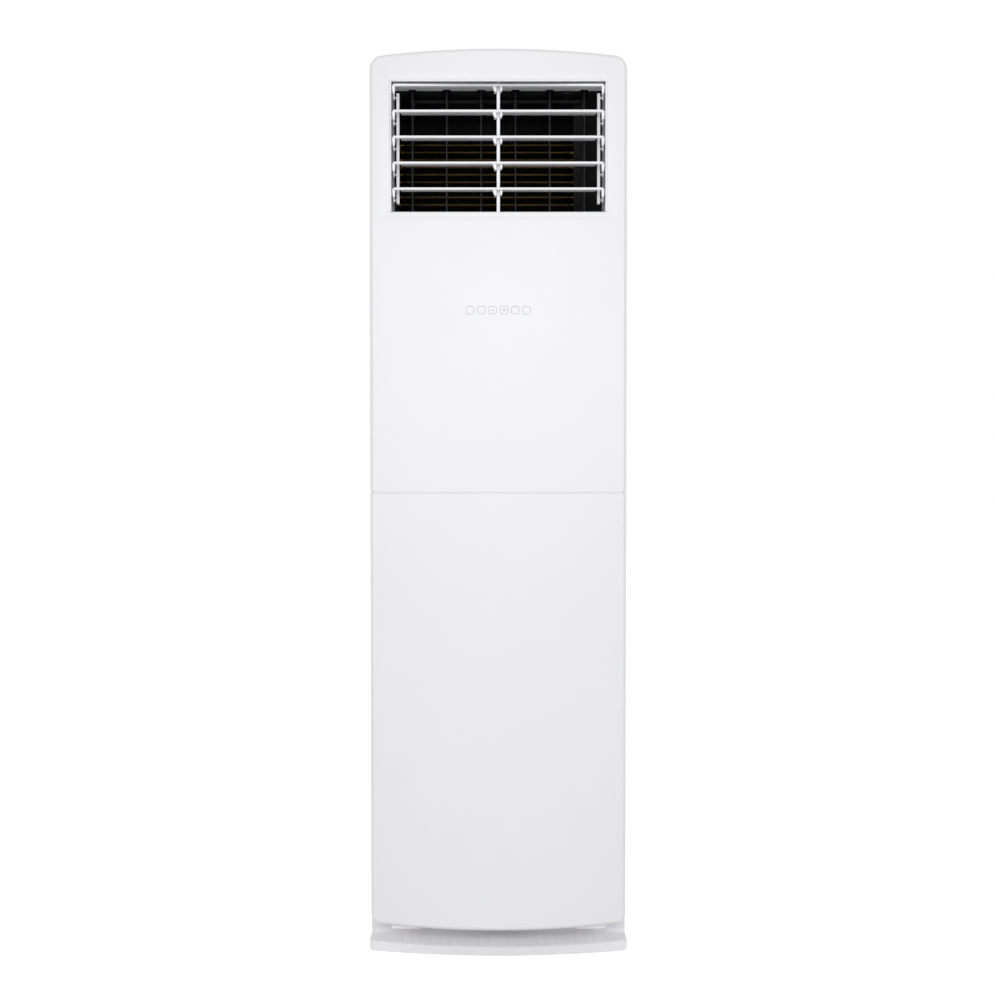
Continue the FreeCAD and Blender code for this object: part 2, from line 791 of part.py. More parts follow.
def make_vanes():
    round_radius = vane_thickness / 2
    split_y = vane_pivot_y + vane_notch_gap
    tail_y = vane_front_y + vane_chord
    tail_top = tie_z[0] - tie_gap
    for place, x in enumerate(vane_places):
        def upright(radius, y, low, high):
            return rod(radius, vector(x, y, low), vector(x, y, high))

        across = (x - round_radius, x + round_radius)
        vane = joined(
            block(across, (vane_front_y + round_radius, split_y), vane_z),
            block(across, (split_y, tail_y - round_radius), (vane_z[0], tail_top)),
            upright(round_radius, vane_front_y + round_radius, *vane_z),
            upright(round_radius, tail_y - round_radius, vane_z[0], tail_top),
            upright(vane_boss_radius, vane_pivot_y, vane_z[1] - vane_boss_height, vane_z[1]),
            upright(vane_boss_radius, vane_pivot_y, vane_z[0], vane_z[0] + vane_boss_height),
            upright(vane_boss_radius, tie_y, tail_top - vane_boss_height, tail_top),
            upright(vane_pin_radius, vane_pivot_y, vane_z[1], vane_z[1] + vane_pin_length),
            upright(vane_pin_radius, vane_pivot_y, vane_z[0] - vane_foot_pin_length, vane_z[0]),
            upright(link_pin_radius, tie_y, tail_top, tie_z[1]))
        save("vane_" + str(place + 1), vane)


def make_swing_drive():
    bar = block((vane_places[0] - tie_end, vane_places[-1] + tie_end),
                (tie_y - tie_width / 2, tie_y + tie_width / 2), tie_z)
    bores = []
    for place, x in enumerate(vane_places + [crank_x]):
        clearance = running_clearance if place == 0 else link_loose_clearance
        bores.append(rod(link_pin_radius + clearance, vector(x, tie_y, tie_z[0]), vector(x, tie_y, tie_z[1])))
    save("vane_tie_bar", bar.cut(bores))

    def upright(radius, y, low, high):
        return rod(radius, vector(crank_x, y, low), vector(crank_x, y, high))

    motor_bottom = duct_ceiling + duct_wall
    tail_y = vane_pivot_y - crank_tail
    crank = joined(
        block((crank_x - crank_lobe_radius, crank_x + crank_lobe_radius), (tail_y, tie_y), crank_z),
        upright(crank_lobe_radius, tie_y, *crank_z), upright(crank_lobe_radius, tail_y, *crank_z),
        upright(crank_hub_radius, vane_pivot_y, *crank_z),
        upright(crank_shaft_radius, vane_pivot_y, crank_z[1], motor_bottom + swing_motor_grip),
        upright(link_pin_radius, tie_y, tie_z[0], crank_z[0]))
    save("swing_crank", crank)
    can = upright(swing_motor_radius, vane_pivot_y, motor_bottom, motor_bottom + swing_motor_height)
    plate = block((crank_x - motor_plate_reach, crank_x + motor_plate_reach),
                  (vane_pivot_y - motor_plate_width / 2, vane_pivot_y + motor_plate_width / 2),
                  (motor_bottom, motor_bottom + motor_plate))
    bore = upright(crank_shaft_radius + running_clearance, vane_pivot_y, motor_bottom,
                   motor_bottom + swing_motor_grip + seat_clearance)
    save("swing_motor", joined(can, plate).cut(bore))


# Evaporator: a stack of fins on two rows of hairpin tubes between end plates
coil_left = coil_left_gap - half_width
coil_right = half_width - coil_right_gap
coil_bottom_y = edge_y + coil_setback
coil_bottom_z = window_z[0] - coil_drop
tray_front_y = coil_bottom_y - tray_front_gap
tray_floor = coil_bottom_z - tray_drop
tray_top = tray_floor + tray_height
tray_right = half_width - tray_right_gap
spout_x = tray_right - spout_inset
spout_y = tray_front_y + spout_setback
pipe_drop_x = half_width - pipe_side


def leaned(shape):
    """A piece drawn upright at the origin, set at the coil's foot and leaned back."""
    shape.rotate(vector(0, 0, 0), vector(1, 0, 0), -coil_lean_deg)
    shape.translate(vector(0, coil_bottom_y, coil_bottom_z))
    return shape


def leaned_point(x, v, w):
    lean = math.radians(coil_lean_deg)
    return vector(x, coil_bottom_y + v * math.cos(lean) + w * math.sin(lean),
                  coil_bottom_z - v * math.sin(lean) + w * math.cos(lean))


def tube_place(row, level):
    v = coil_row_margin + row * coil_row_pitch
    w = (level + coil_first_share + row * coil_stagger_share) * coil_tube_pitch
    return v, w


coil_thickness = 2 * coil_row_margin + (coil_rows - 1) * coil_row_pitch
coil_height = coil_tubes_high * coil_tube_pitch
tube_left_x = coil_left - sheet - coil_tube_end
tube_right_x = coil_right + sheet + coil_tube_end


def tube_bores(x_range):
    return [rod(coil_tube_radius + running_clearance, vector(x_range[0], *tube_place(row, level)),
                vector(x_range[1], *tube_place(row, level)))
            for row in range(coil_rows) for level in range(coil_tubes_high)]


def make_evaporator():
    reach = (coil_left - overrun, coil_right + overrun)
    fins = block((coil_left, coil_right), (0, coil_thickness), (0, coil_height)).cut(tube_bores(reach))
    save("evaporator_fins", leaned(fins))
    plates = []
    for x_range in ((coil_left - sheet, coil_left), (coil_right, coil_right + sheet)):
        plate_v = (-coil_plate_margin, coil_thickness + coil_plate_margin)
        plate = leaned(block(x_range, plate_v, (0, coil_height)).cut(tube_bores(reach)))
        heel = leaned_point(0, coil_thickness, 0)
        foot = block(x_range, (heel.y - coil_foot_depth, heel.y), (tray_floor, coil_bottom_z))
        way = leaned(block(x_range, plate_v, (0, coil_height)))
        plates.append(joined(plate, foot.cut(way)))
    save("evaporator_end_plates", *plates)


def half_ring(start, middle, axis, turn_deg):
    """A half-round tube bend from an open end, about an axis."""
    mouth = Part.Face(Part.Wire(Part.makeCircle(coil_tube_radius, start, vector(1, 0, 0))))
    return mouth.revolve(middle, axis, turn_deg)


def make_evaporator_tubes():
    tubes = []
    for row in range(coil_rows):
        for level in range(0, coil_tubes_high, 2):
            v, low = tube_place(row, level)
            high = tube_place(row, level + 1)[1]
            middle = vector(tube_left_x, v, (low + high) / 2)
            bend = half_ring(vector(tube_left_x, v, low), middle, vector(0, 1, 0), 180)
            legs = [rod(coil_tube_radius, vector(tube_left_x, v, w), vector(tube_right_x, v, w))
                    for w in (low, high)]
            tubes.append(leaned(joined(bend, *legs)))
        for level in range(1, coil_tubes_high - 1, 2):
            v, low = tube_place(row, level)
            middle = vector(tube_right_x, v, low + coil_tube_pitch / 2)
            tubes.append(leaned(half_ring(vector(tube_right_x, v, low), middle, vector(0, 1, 0), -180)))
    ends = [vector(tube_right_x, *tube_place(row, coil_tubes_high - 1)) for row in (0, coil_rows - 1)]
    step = ends[1].sub(ends[0])
    axis = step.cross(vector(1, 0, 0)).normalize()
    tubes.append(leaned(half_ring(ends[0], ends[0].add(ends[1]).multiply(1 / 2), axis, -180)))
    save("evaporator_tubes", *tubes)


# Drain tray under the coil, with its spout and the hose that carries the water down
def make_drain():
    left = -side_inner_x + seat_clearance
    tray_back_y = tray_front_y + tray_depth
    outer = block((left, tray_right), (tray_front_y, tray_back_y), (tray_floor - tray_wall, tray_top))
    inner = block((left + tray_wall, tray_right - tray_wall),
                  (tray_front_y + tray_wall, tray_back_y - tray_wall), (tray_floor, tray_top + overrun))
    mouth = vector(spout_x, spout_y, tray_floor)
    spout_end = vector(spout_x, spout_y, tray_floor - spout_length)
    bore = rod(spout_bore_radius, mouth.add(vector(0, 0, overrun)), spout_end)
    save("drain_tray", joined(outer.cut(inner), rod(spout_radius, mouth, spout_end)).cut(bore))
    hose_top = vector(spout_x, spout_y, tray_floor - tray_wall)
    hose_end = vector(spout_x, spout_y, hose_bottom)
    hose = rod(hose_radius, hose_top, hose_end).cut(rod(spout_radius + running_clearance, hose_top, hose_end))
    save("drain_hose", hose)


# Refrigerant pipes from the coil's lower ends down to their flare nuts
def make_pipes():
    nuts = []
    runs = (("liquid_pipe", liquid_pipe_radius, 0), ("gas_pipe", gas_pipe_radius, coil_rows - 1))
    for node, radius, row in runs:
        start = leaned_point(tube_right_x, *tube_place(row, 0))
        bend_x = pipe_drop_x - pipe_bend_radius
        turn = vector(bend_x, start.y, start.z)
        middle = vector(bend_x, start.y, start.z - pipe_bend_radius)
        half = math.sin(math.pi / 4) * pipe_bend_radius
        through = middle.add(vector(half, 0, half))
        drop = middle.add(vector(pipe_bend_radius, 0, 0))
        end = vector(pipe_drop_x, start.y, pipe_bottom)
        bend = Part.Arc(turn, through, drop).toShape()
        path = Part.Wire([Part.makeLine(start, turn), bend, Part.makeLine(drop, end)])
        mouth = Part.Wire(Part.makeCircle(radius, start, vector(1, 0, 0)))
        save(node, path.makePipeShell([mouth], True, False))
        corner = radius + flare_nut_wall
        turns = [place * math.pi / 3 for place in range(6)]
        hexagon = [end.add(vector(corner * math.cos(turn), corner * math.sin(turn), 0)) for turn in turns]
        nut = prism(hexagon, vector(0, 0, flare_nut_height))
        nuts.append(nut.cut(rod(radius + running_clearance, end, end.add(vector(0, 0, flare_nut_height)))))
    save("flare_nuts", *nuts)


# Air guide panel that closes the duct side of the upper compartment, and the deck over the blower
guide_y = (tray_front_y - guide_gap - sheet, tray_front_y - guide_gap)
guide_z = (deck_height + sheet, window_z[0] - duct_wall - seat_clearance)
inside_half = side_inner_x - seat_clearance
scroll_end_radius = half_width - scroll_side + blower_x
scroll_start_radius = scroll_end_radius - scroll_growth
outlet_mouth_left = blower_x - scroll_end_radius
tongue = math.radians(scroll_tongue_deg)
outlet_mouth_right = blower_x + scroll_start_radius * math.cos(tongue)
scroll_back_y = cabinet_back_y - scroll_back_gap
scroll_y = (scroll_back_y - scroll_depth, scroll_back_y)


def make_inner_walls():
    save("air_guide_panel", block((-inside_half, inside_half), guide_y, guide_z))
    deck = block((-inside_half, inside_half),
                 (cabinet_front_y + sheet + seat_clearance, cabinet_back_y - 2 * sheet - seat_clearance),
                 (deck_height, deck_height + sheet))
    mouth = block((outlet_mouth_left + scroll_wall, outlet_mouth_right - scroll_wall),
                  (scroll_y[0], scroll_y[1] - scroll_wall), (deck_height - overrun, deck_height + overrun))
    holes = [mouth, rod(hose_radius + deck_pipe_gap, vector(spout_x, spout_y, deck_height - overrun),
                        vector(spout_x, spout_y, deck_height + overrun))]
    for radius, row in ((liquid_pipe_radius, 0), (gas_pipe_radius, coil_rows - 1)):
        y = leaned_point(0, *tube_place(row, 0)).y
        holes.append(rod(radius + pipe_hole_gap, vector(pipe_drop_x, y, deck_height - overrun),
                         vector(pipe_drop_x, y, deck_height + overrun)))
    save("blower_deck", deck.cut(holes))


# Scroll housing of the blower, its front plate with the bell mouth, the wheel and the motor
def scroll_point(turn_deg, offset, y):
    """A point on the scroll, going round from its tongue, a wall's offset inwards."""
    radius = scroll_start_radius - offset
    radius += (scroll_end_radius - scroll_start_radius) * turn_deg / scroll_sweep_deg
    angle = tongue - math.radians(turn_deg)
    return vector(blower_x + radius * math.cos(angle), y, blower_z + radius * math.sin(angle))


def scroll_solid(offset, y_range, top):
    arcs = 4
    turns = [scroll_sweep_deg * place / (2 * arcs) for place in range(2 * arcs + 1)]
    points = [scroll_point(turn, offset, y_range[0]) for turn in turns]
    edges = [Part.Arc(*points[place:place + 3]).toShape() for place in range(0, 2 * arcs, 2)]
    top_ends = [vector(point.x, y_range[0], top) for point in (points[-1], points[0])]
    corners = [points[-1], *top_ends, points[0]]
    edges += [Part.makeLine(*corners[place:place + 2]) for place in range(3)]
    return Part.Face(Part.Wire(edges)).extrude(vector(0, y_range[1] - y_range[0], 0))


def on_axis(radius, start_y, end_y):
    """A round piece on the blower's axis."""
    return rod(radius, vector(blower_x, start_y, blower_z), vector(blower_x, end_y, blower_z))


plate_y = (scroll_y[0] - plate_thickness, scroll_y[0])
wheel_radius = scroll_start_radius - wheel_scroll_gap
wheel_inner_radius = wheel_radius - blade_depth
wheel_ring_radius = wheel_radius - wheel_ring_width
mouth_throat_radius = wheel_ring_radius - mouth_gap
mouth_outer_radius = mouth_throat_radius + mouth_flare
wheel_front_y = plate_y[0] + mouth_depth + wheel_front_gap
disc_y = (wheel_front_y + wheel_width, wheel_front_y + wheel_width + wheel_disc)
motor_y = (scroll_y[1] - scroll_wall - motor_length, scroll_y[1] - scroll_wall)


def make_blower_housing():
    outer = scroll_solid(0, scroll_y, deck_height)
    hollow_y = (scroll_y[0] - overrun, scroll_y[1] - scroll_wall)
    inner = scroll_solid(scroll_wall, hollow_y, deck_height + overrun)
    save("blower_housing", outer.cut(inner))
    mouth_axis = (vector(blower_x, plate_y[0], blower_z), vector(0, 1, 0))
    funnel = Part.makeCone(mouth_outer_radius + plate_thickness, mouth_throat_radius + plate_thickness,
                           mouth_depth, *mouth_axis)
    hollow = Part.makeCone(mouth_outer_radius, mouth_throat_radius, mouth_depth, *mouth_axis)
    plate = scroll_solid(0, plate_y, deck_height)
    save("blower_front_plate", joined(plate, funnel).cut(hollow))


def make_blower_wheel():
    pieces = [on_axis(wheel_radius, *disc_y),
              on_axis(wheel_hub_radius, disc_y[1] - wheel_hub_depth, disc_y[1]),
              on_axis(wheel_radius, wheel_front_y, wheel_front_y + wheel_ring_depth).cut(
                  on_axis(wheel_ring_radius, wheel_front_y, wheel_front_y + wheel_ring_depth))]

    def rim_point(radius, angle_deg):
        angle = math.radians(angle_deg)
        return vector(blower_x + radius * math.cos(angle), wheel_front_y, blower_z + radius * math.sin(angle))

    for place in range(blade_count):
        turn = place * 360 / blade_count
        blade = prism([rim_point(wheel_inner_radius, turn), rim_point(wheel_radius, turn + blade_turn_deg),
                       rim_point(wheel_radius, turn + blade_turn_deg + blade_thick_deg),
                       rim_point(wheel_inner_radius, turn + blade_thick_deg)], vector(0, wheel_width, 0))
        pieces.append(blade)
    bore = on_axis(shaft_radius + running_clearance, wheel_front_y, disc_y[1])
    save("blower_wheel", joined(*pieces).cut(bore))
    shaft_end = motor_y[0] + motor_bore_depth
    save("blower_shaft", on_axis(shaft_radius, disc_y[1] - wheel_hub_depth - shaft_front, shaft_end))
    socket = on_axis(shaft_radius + running_clearance, motor_y[0], shaft_end + seat_clearance)
    save("blower_motor", on_axis(motor_radius, *motor_y).cut(socket))


# Electrical box with its lid, main board and terminal block, and the display board behind the keys
box_middle_z = (guide_z[0] + guide_z[1]) / 2
box_z = (box_middle_z - box_height / 2, box_middle_z + box_height / 2)
box_y = (guide_y[0] - box_depth, guide_y[0])
board_y = (box_y[1] - sheet - standoff_height - board_thickness, box_y[1] - sheet - standoff_height)
board_left = board_left_gap - box_half_width
board_right = board_left + board_width
terminal_left = board_right + terminal_gap


def make_electrics():
    outer = block((-box_half_width, box_half_width), box_y, box_z)
    inner = block((sheet - box_half_width, box_half_width - sheet), (box_y[0] - overrun, box_y[1] - sheet),
                  (box_z[0] + sheet, box_z[1] - sheet))
    board_z = (box_z[0] + board_margin, box_z[1] - board_margin)
    posts = [rod(standoff_radius, vector(x, board_y[1], z), vector(x, box_y[1] - sheet, z))
             for x in (board_left + standoff_inset, board_right - standoff_inset)
             for z in (board_z[0] + standoff_inset, board_z[1] - standoff_inset)]
    save("electrical_box", joined(outer.cut(inner), *posts))
    lid_y = (box_y[0] - box_lid, box_y[0])
    save("electrical_box_cover", block((-box_half_width, box_half_width), lid_y, box_z))
    board = block((board_left, board_right), board_y, board_z)
    raised = []
    part_z = (box_z[0] + board_part_lift, box_z[0] + board_part_lift + board_part_size)
    for place in range(board_part_count):
        x = board_left + board_margin + place * (board_width - board_margin) / board_part_count
        raised.append(block((x, x + board_part_size), (board_y[0] - board_part_height, board_y[0]), part_z))
    save("main_board", joined(board, *raised))
    terminal_z = (board_z[0], board_z[0] + terminal_height)
    terminal_y = (box_y[1] - sheet - terminal_depth, box_y[1] - sheet)
    terminal = block((terminal_left, terminal_left + terminal_width), terminal_y, terminal_z)
    pitch = terminal_height / terminal_slot_count
    slots = []
    for place in range(terminal_slot_count):
        low = terminal_z[0] + pitch * (place + (1 - terminal_slot_share) / 2)
        slots.append(block((terminal_left - overrun, terminal_left + terminal_width + overrun),
                           (terminal_y[0], terminal_y[0] + terminal_slot_depth),
                           (low, low + pitch * terminal_slot_share)))
    save("terminal_block", terminal.cut(slots))
    display_front = bow_y(display_half_width, panel_wall) + seat_clearance
    save("display_board", block((-display_half_width, display_half_width),
                                (display_front, display_front + board_thickness),
                                (key_height - display_height / 2, key_height + display_height / 2)))


# Intake grilles with their air filters, clipped into the sides, and the rear openings' fittings
def make_intakes():
    y_range = (intake_y[0] + seat_clearance, intake_y[1] - seat_clearance)
    z_range = (intake_z[0] + seat_clearance, intake_z[1] - seat_clearance)
    plate = block((half_width - grille_depth, half_width), y_range, z_range)
    hollow = block((half_width - grille_depth - overrun, half_width - grille_plate),
                   (y_range[0] + grille_rim, y_range[1] - grille_rim),
                   (z_range[0] + grille_rim, z_range[1] - grille_rim))
    pitch = (z_range[1] - z_range[0] - 2 * grille_slot_margin) / grille_slot_count
    slots = []
    for place in range(grille_slot_count):
        low = z_range[0] + grille_slot_margin + place * pitch + (pitch - grille_slot_height) / 2
        slots.append(block((half_width - grille_depth, half_width + overrun),
                           (y_range[0] + grille_slot_margin, y_range[1] - grille_slot_margin),
                           (low, low + grille_slot_height)))
    grille = plate.cut([hollow] + slots)
    save("intake_grille_right", grille)
    save("intake_grille_left", mirrored(grille))
    filter_x = (half_width - grille_depth - filter_depth, half_width - grille_depth)
    frame = block(filter_x, y_range, z_range)
    way = block((filter_x[0] - overrun, filter_x[1] + overrun),
                (y_range[0] + filter_frame, y_range[1] - filter_frame),
                (z_range[0] + filter_frame, z_range[1] - filter_frame))
    mesh = block((filter_x[0], filter_x[0] + filter_mesh), y_range, z_range)
    screen = joined(frame.cut(way), mesh)
    save("air_filter_right", screen)
    save("air_filter_left", mirrored(screen))


def make_rear_fittings():
    def ring(x, outer, inner, y_start, y_end):
        ends = (vector(x, y_start, rear_hole_z), vector(x, y_end, rear_hole_z))
        return rod(outer, *ends).cut(rod(inner, *ends))

    inside_y = cabinet_back_y - sheet
    bore = pipe_hole_radius - grommet_wall
    save("pipe_grommet", joined(
        ring(pipe_hole_x, pipe_hole_radius - running_clearance, bore, inside_y - grommet_lip_depth,
             cabinet_back_y),
        ring(pipe_hole_x, pipe_hole_radius + grommet_lip, bore, cabinet_back_y,
             cabinet_back_y + grommet_lip_depth)))

    def gland_ring(outer, y_start, y_end):
        return ring(gland_hole_x, outer, gland_bore_radius, y_start, y_end)

    save("cable_gland", joined(
        gland_ring(gland_hole_radius - running_clearance, inside_y - gland_nut_depth, cabinet_back_y),
        gland_ring(gland_head_radius, cabinet_back_y, cabinet_back_y + gland_head_depth),
        gland_ring(gland_head_radius, inside_y - gland_nut_depth, inside_y)))


os.makedirs("parts", exist_ok=True)
make_upper_panel()
make_lower_panel()
make_support_tabs()
make_plinth()
make_base_pan()
make_side_panels()
make_back_panel()
make_cabinet_screws()
make_top_cover()
make_duct()
make_louvers()
make_centre_rib()
make_louver_links()
make_louver_motor()
make_vane_rails()
make_vanes()
make_swing_drive()
make_evaporator()
make_evaporator_tubes()
make_drain()
make_pipes()
make_inner_walls()
make_blower_housing()
make_blower_wheel()
make_electrics()
make_intakes()
make_rear_fittings()
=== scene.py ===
import math

import bmesh
import bpy
from mathutils import Matrix, Vector


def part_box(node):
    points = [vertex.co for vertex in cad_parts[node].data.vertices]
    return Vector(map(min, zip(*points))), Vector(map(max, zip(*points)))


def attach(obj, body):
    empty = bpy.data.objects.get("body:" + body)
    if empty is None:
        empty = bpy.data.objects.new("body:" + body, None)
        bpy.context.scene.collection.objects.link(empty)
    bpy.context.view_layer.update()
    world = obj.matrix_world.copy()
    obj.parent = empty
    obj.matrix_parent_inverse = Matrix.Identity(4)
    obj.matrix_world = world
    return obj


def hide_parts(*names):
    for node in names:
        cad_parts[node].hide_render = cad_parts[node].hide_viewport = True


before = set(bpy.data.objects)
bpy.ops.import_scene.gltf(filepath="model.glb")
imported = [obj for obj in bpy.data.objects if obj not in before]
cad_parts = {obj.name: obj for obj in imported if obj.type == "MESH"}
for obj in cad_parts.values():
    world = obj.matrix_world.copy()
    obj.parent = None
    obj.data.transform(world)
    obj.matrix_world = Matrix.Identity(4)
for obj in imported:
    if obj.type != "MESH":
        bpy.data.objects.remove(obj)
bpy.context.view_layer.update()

# Plinth. The foot of the cabinet is one white ABS moulding, open underneath, that slips over the steel
# base pan. A bowed lip stands out in front, and a ledge runs back from it to a small cove at the
# cabinet's foot.
mm = 0.001
weld = 0.01 * mm
plinth_low, plinth_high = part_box("plinth")
plinth_half = plinth_high.x
plinth_back_y = plinth_high.y
plinth_rim_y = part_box("side_panel_left")[0].y
lip_height = 21.5 * mm
lip_bow = 37 * mm
lip_toe_in = 13 * mm
edge_y = plinth_low.y + lip_bow
foot_corner = 9 * mm
plinth_wall = 3 * mm
plinth_edge = 1.2 * mm
cove_radius = 8 * mm
cove_steps = 6
plinth_columns = 96
corner_steps = 8
smooth_below = math.radians(35)
round_above = math.radians(38)


def linear(hex_colour):
    """An sRGB hex colour as the linear values that a shader takes."""
    parts = [int(hex_colour[place:place + 2], 16) / 255 for place in (1, 3, 5)]
    return [part / 12.92 if part <= 0.04045 else ((part + 0.055) / 1.055) ** 2.4 for part in parts] + [1]


def wire(tree, node, links):
    """Feed a node's inputs from other nodes."""
    for key, source in links.items():
        tree.links.new(source, node.inputs[key])


def add_node(tree, kind, settings=None, links=None):
    """Add one node: settings go to its properties or open inputs, and links feed its inputs."""
    node = tree.nodes.new(kind)
    for key, value in (settings or {}).items():
        if isinstance(key, str) and hasattr(node, key):
            setattr(node, key, value)
        else:
            node.inputs[key].default_value = value
    wire(tree, node, links or {})
    return node


def start_material(name, **settings):
    """A new material: its tree, its surface shader with constants set, and the place on the piece."""
    material = bpy.data.materials.new(name)
    material.use_nodes = True
    tree = material.node_tree
    shader = tree.nodes["Principled BSDF"]
    for key, value in settings.items():
        shader.inputs[key.replace("_", " ")].default_value = value
    return material, tree, shader, add_node(tree, "ShaderNodeTexCoord").outputs["Object"]


def moulded_plastic(name, pale, shade, roughness, grain, relief):
    """Moulded plastic. Slow flow marks a hand's width across, over the fine grain that a spark-eroded
    mould leaves, which is drawn coarser than the real tenth of a millimetre so that it shows."""
    flow_size = 130 * mm
    grain_height = 0.1 * mm
    gloss_spread = 0.05
    material, tree, shader, place = start_material(name, IOR=1.53)
    flow = add_node(tree, "ShaderNodeTexNoise", {"Scale": 1 / flow_size, "Detail": 2.0}, {"Vector": place})
    tone = add_node(tree, "ShaderNodeMix", {"data_type": "RGBA", 6: linear(pale), 7: linear(shade)},
                    {"Factor": flow.outputs["Fac"]})
    specks = add_node(tree, "ShaderNodeTexNoise", {"Scale": 1 / grain, "Detail": 3.0}, {"Vector": place})
    gloss = add_node(tree, "ShaderNodeMapRange",
                     {"To Min": roughness - gloss_spread, "To Max": roughness + gloss_spread},
                     {"Value": specks.outputs["Fac"]})
    bump = add_node(tree, "ShaderNodeBump", {"Strength": relief, "Distance": grain_height},
                    {"Height": specks.outputs["Fac"]})
    wire(tree, shader, {"Base Color": tone.outputs[2], "Roughness": gloss.outputs["Result"],
                        "Normal": bump.outputs["Normal"]})
    return material


def in_scene(name, data):
    """A new object for a mesh, a lamp or a camera, linked into the scene."""
    thing = bpy.data.objects.new(name, data)
    bpy.context.scene.collection.objects.link(thing)
    return thing


def as_mesh(name, shape):
    """The plain mesh of a bmesh, which is freed."""
    mesh = bpy.data.meshes.new(name)
    shape.to_mesh(mesh)
    shape.free()
    return mesh


def new_piece(name, shape, material, body, slot, *nodes):
    """A finished piece from a mesh or a bmesh, smooth over its rounds, riding on a body."""
    mesh = as_mesh(name, shape) if isinstance(shape, bmesh.types.BMesh) else shape
    mesh.materials.clear()
    mesh.materials.append(material)
    mesh.polygons.foreach_set("use_smooth", [True] * len(mesh.polygons))
    mesh.set_sharp_from_angle(angle=smooth_below)
    piece = in_scene(name, mesh)
    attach(piece, body)
    if nodes:
        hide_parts(*nodes)


def seal(shape):
    """Merge the points that lie together and make the faces look one way."""
    bmesh.ops.remove_doubles(shape, verts=shape.verts, dist=weld)
    bmesh.ops.recalc_face_normals(shape, faces=shape.faces)


def finished_mesh(holder):
    """The plain mesh of an object with its modifiers applied. The object itself is taken away."""
    mesh = bpy.data.meshes.new_from_object(holder.evaluated_get(bpy.context.evaluated_depsgraph_get()))
    holder.modifiers.clear()
    bpy.data.objects.remove(holder)
    return mesh


def with_modifiers(shape, *modifiers):
    """The mesh of a sheet or a solid after its modifiers, its foremost face turned to the front."""
    seal(shape)
    foremost = min(shape.faces, key=lambda face: face.calc_center_median().y)
    if foremost.normal.y > 0:
        bmesh.ops.reverse_faces(shape, faces=shape.faces)
    holder = in_scene("sheet", as_mesh("sheet", shape))
    for kind, settings in modifiers:
        modifier = holder.modifiers.new(kind.lower(), kind)
        for key, value in settings.items():
            setattr(modifier, key, value)
    return finished_mesh(holder)


def skin(shape, rows):
    """Faces between neighbouring rows of points."""
    rings = [[shape.verts.new(point) for point in row] for row in rows]
    for first, second in zip(rings, rings[1:]):
        for place in range(len(first) - 1):
            shape.faces.new((first[place], first[place + 1], second[place + 1], second[place]))


def rounded_edges(width, segments=3):
    """A small round on every sharp edge of a moulding."""
    return ("BEVEL", {"width": width, "segments": segments, "limit_method": "ANGLE",
                      "angle_limit": round_above})


def walled(thickness, even=True):
    """A wall thickness on the inside of a sheet, which can be kept even where the sheet turns a corner."""
    return ("SOLIDIFY", {"thickness": thickness, "offset": -1, "use_even_offset": even})


def bow_reach(x, half, bow):
    """How far a bowed edge stands in front of its chord, at a distance from the middle."""
    radius = (half ** 2 + bow ** 2) / (2 * bow)
    return math.sqrt(radius ** 2 - x ** 2) - (radius - bow)


def lip_point(x, z):
    """A point on the front of the plinth's lip, which leans in towards the floor."""
    return (x, edge_y - bow_reach(x, plinth_half, lip_bow - lip_toe_in * (1 - z / lip_height)), z)


def plinth_low_z(x):
    """Underside of the plinth, rounded up at its two lower corners."""
    past = min(max(abs(x) - (plinth_half - foot_corner), 0), foot_corner)
    return foot_corner - math.sqrt(foot_corner ** 2 - past ** 2)


cove_turns = [math.pi / 2 * place / cove_steps for place in range(cove_steps + 1)]
cove = [(plinth_rim_y - cove_radius * (1 - math.sin(turn)), lip_height + cove_radius * (1 - math.cos(turn)))
        for turn in cove_turns]
cove_front_y, cove_high_z = cove[0][0], cove[-1][1]
plinth_turns = [math.pi * (place / plinth_columns - 0.5) for place in range(plinth_columns + 1)]
plinth_xs = [plinth_half * math.sin(turn) for turn in plinth_turns]
plinth_shape = bmesh.new()
skin(plinth_shape, [[lip_point(x, plinth_low_z(x)), lip_point(x, lip_height)] + [(x, y, z) for y, z in cove]
                    + [(x, plinth_rim_y, plinth_high.z)] for x in plinth_xs])
skin(plinth_shape, [[(x, plinth_back_y, z) for z in (plinth_low_z(x), lip_height, cove_high_z, plinth_high.z)]
                    for x in plinth_xs])
for side in (-1, 1):
    x = side * plinth_half
    skin(plinth_shape, [[(x, y, foot_corner), (x, y, lip_height)]
                        for y in (edge_y, cove_front_y, plinth_rim_y, plinth_back_y)])
    skin(plinth_shape, [[(x, y, z) for z in (lip_height, cove_high_z, plinth_high.z)]
                        for y in (plinth_rim_y, plinth_back_y)])
    for before, after in zip(cove, cove[1:]):
        cheek = [(x, *before), (x, *after), (x, plinth_rim_y, lip_height)]
        plinth_shape.faces.new([plinth_shape.verts.new(point) for point in cheek])
    turned_up = [place for place in plinth_xs if side * place >= plinth_half - foot_corner]
    skin(plinth_shape, [[lip_point(place, plinth_low_z(place)), (place, plinth_back_y, plinth_low_z(place))]
                        for place in turned_up])
plinth_abs = moulded_plastic("ABS plinth, spark-textured mould", "#F5F4F7", "#F0EFF2",
                             roughness=0.45, grain=1.6 * mm, relief=0.10)
plinth_mesh = with_modifiers(plinth_shape, rounded_edges(plinth_edge), walled(plinth_wall, even=False))
for vertex in plinth_mesh.vertices:
    vertex.co = [min(max(at, low), high) for at, low, high in zip(vertex.co, plinth_low, plinth_high)]
new_piece("plinth_moulding", plinth_mesh, plinth_abs, "cabinet", "white_trim", "plinth")

# Ledge ribs. A row of low half-round ribs is moulded along the plinth's ledge, from the rim round the
# cabinet forward to just short of the lip, so each is as long as the bow leaves room for.
rib_count = 21
rib_pitch = 19 * mm
rib_width = 4 * mm
rib_height = 0.8 * mm
rib_setback = 3 * mm


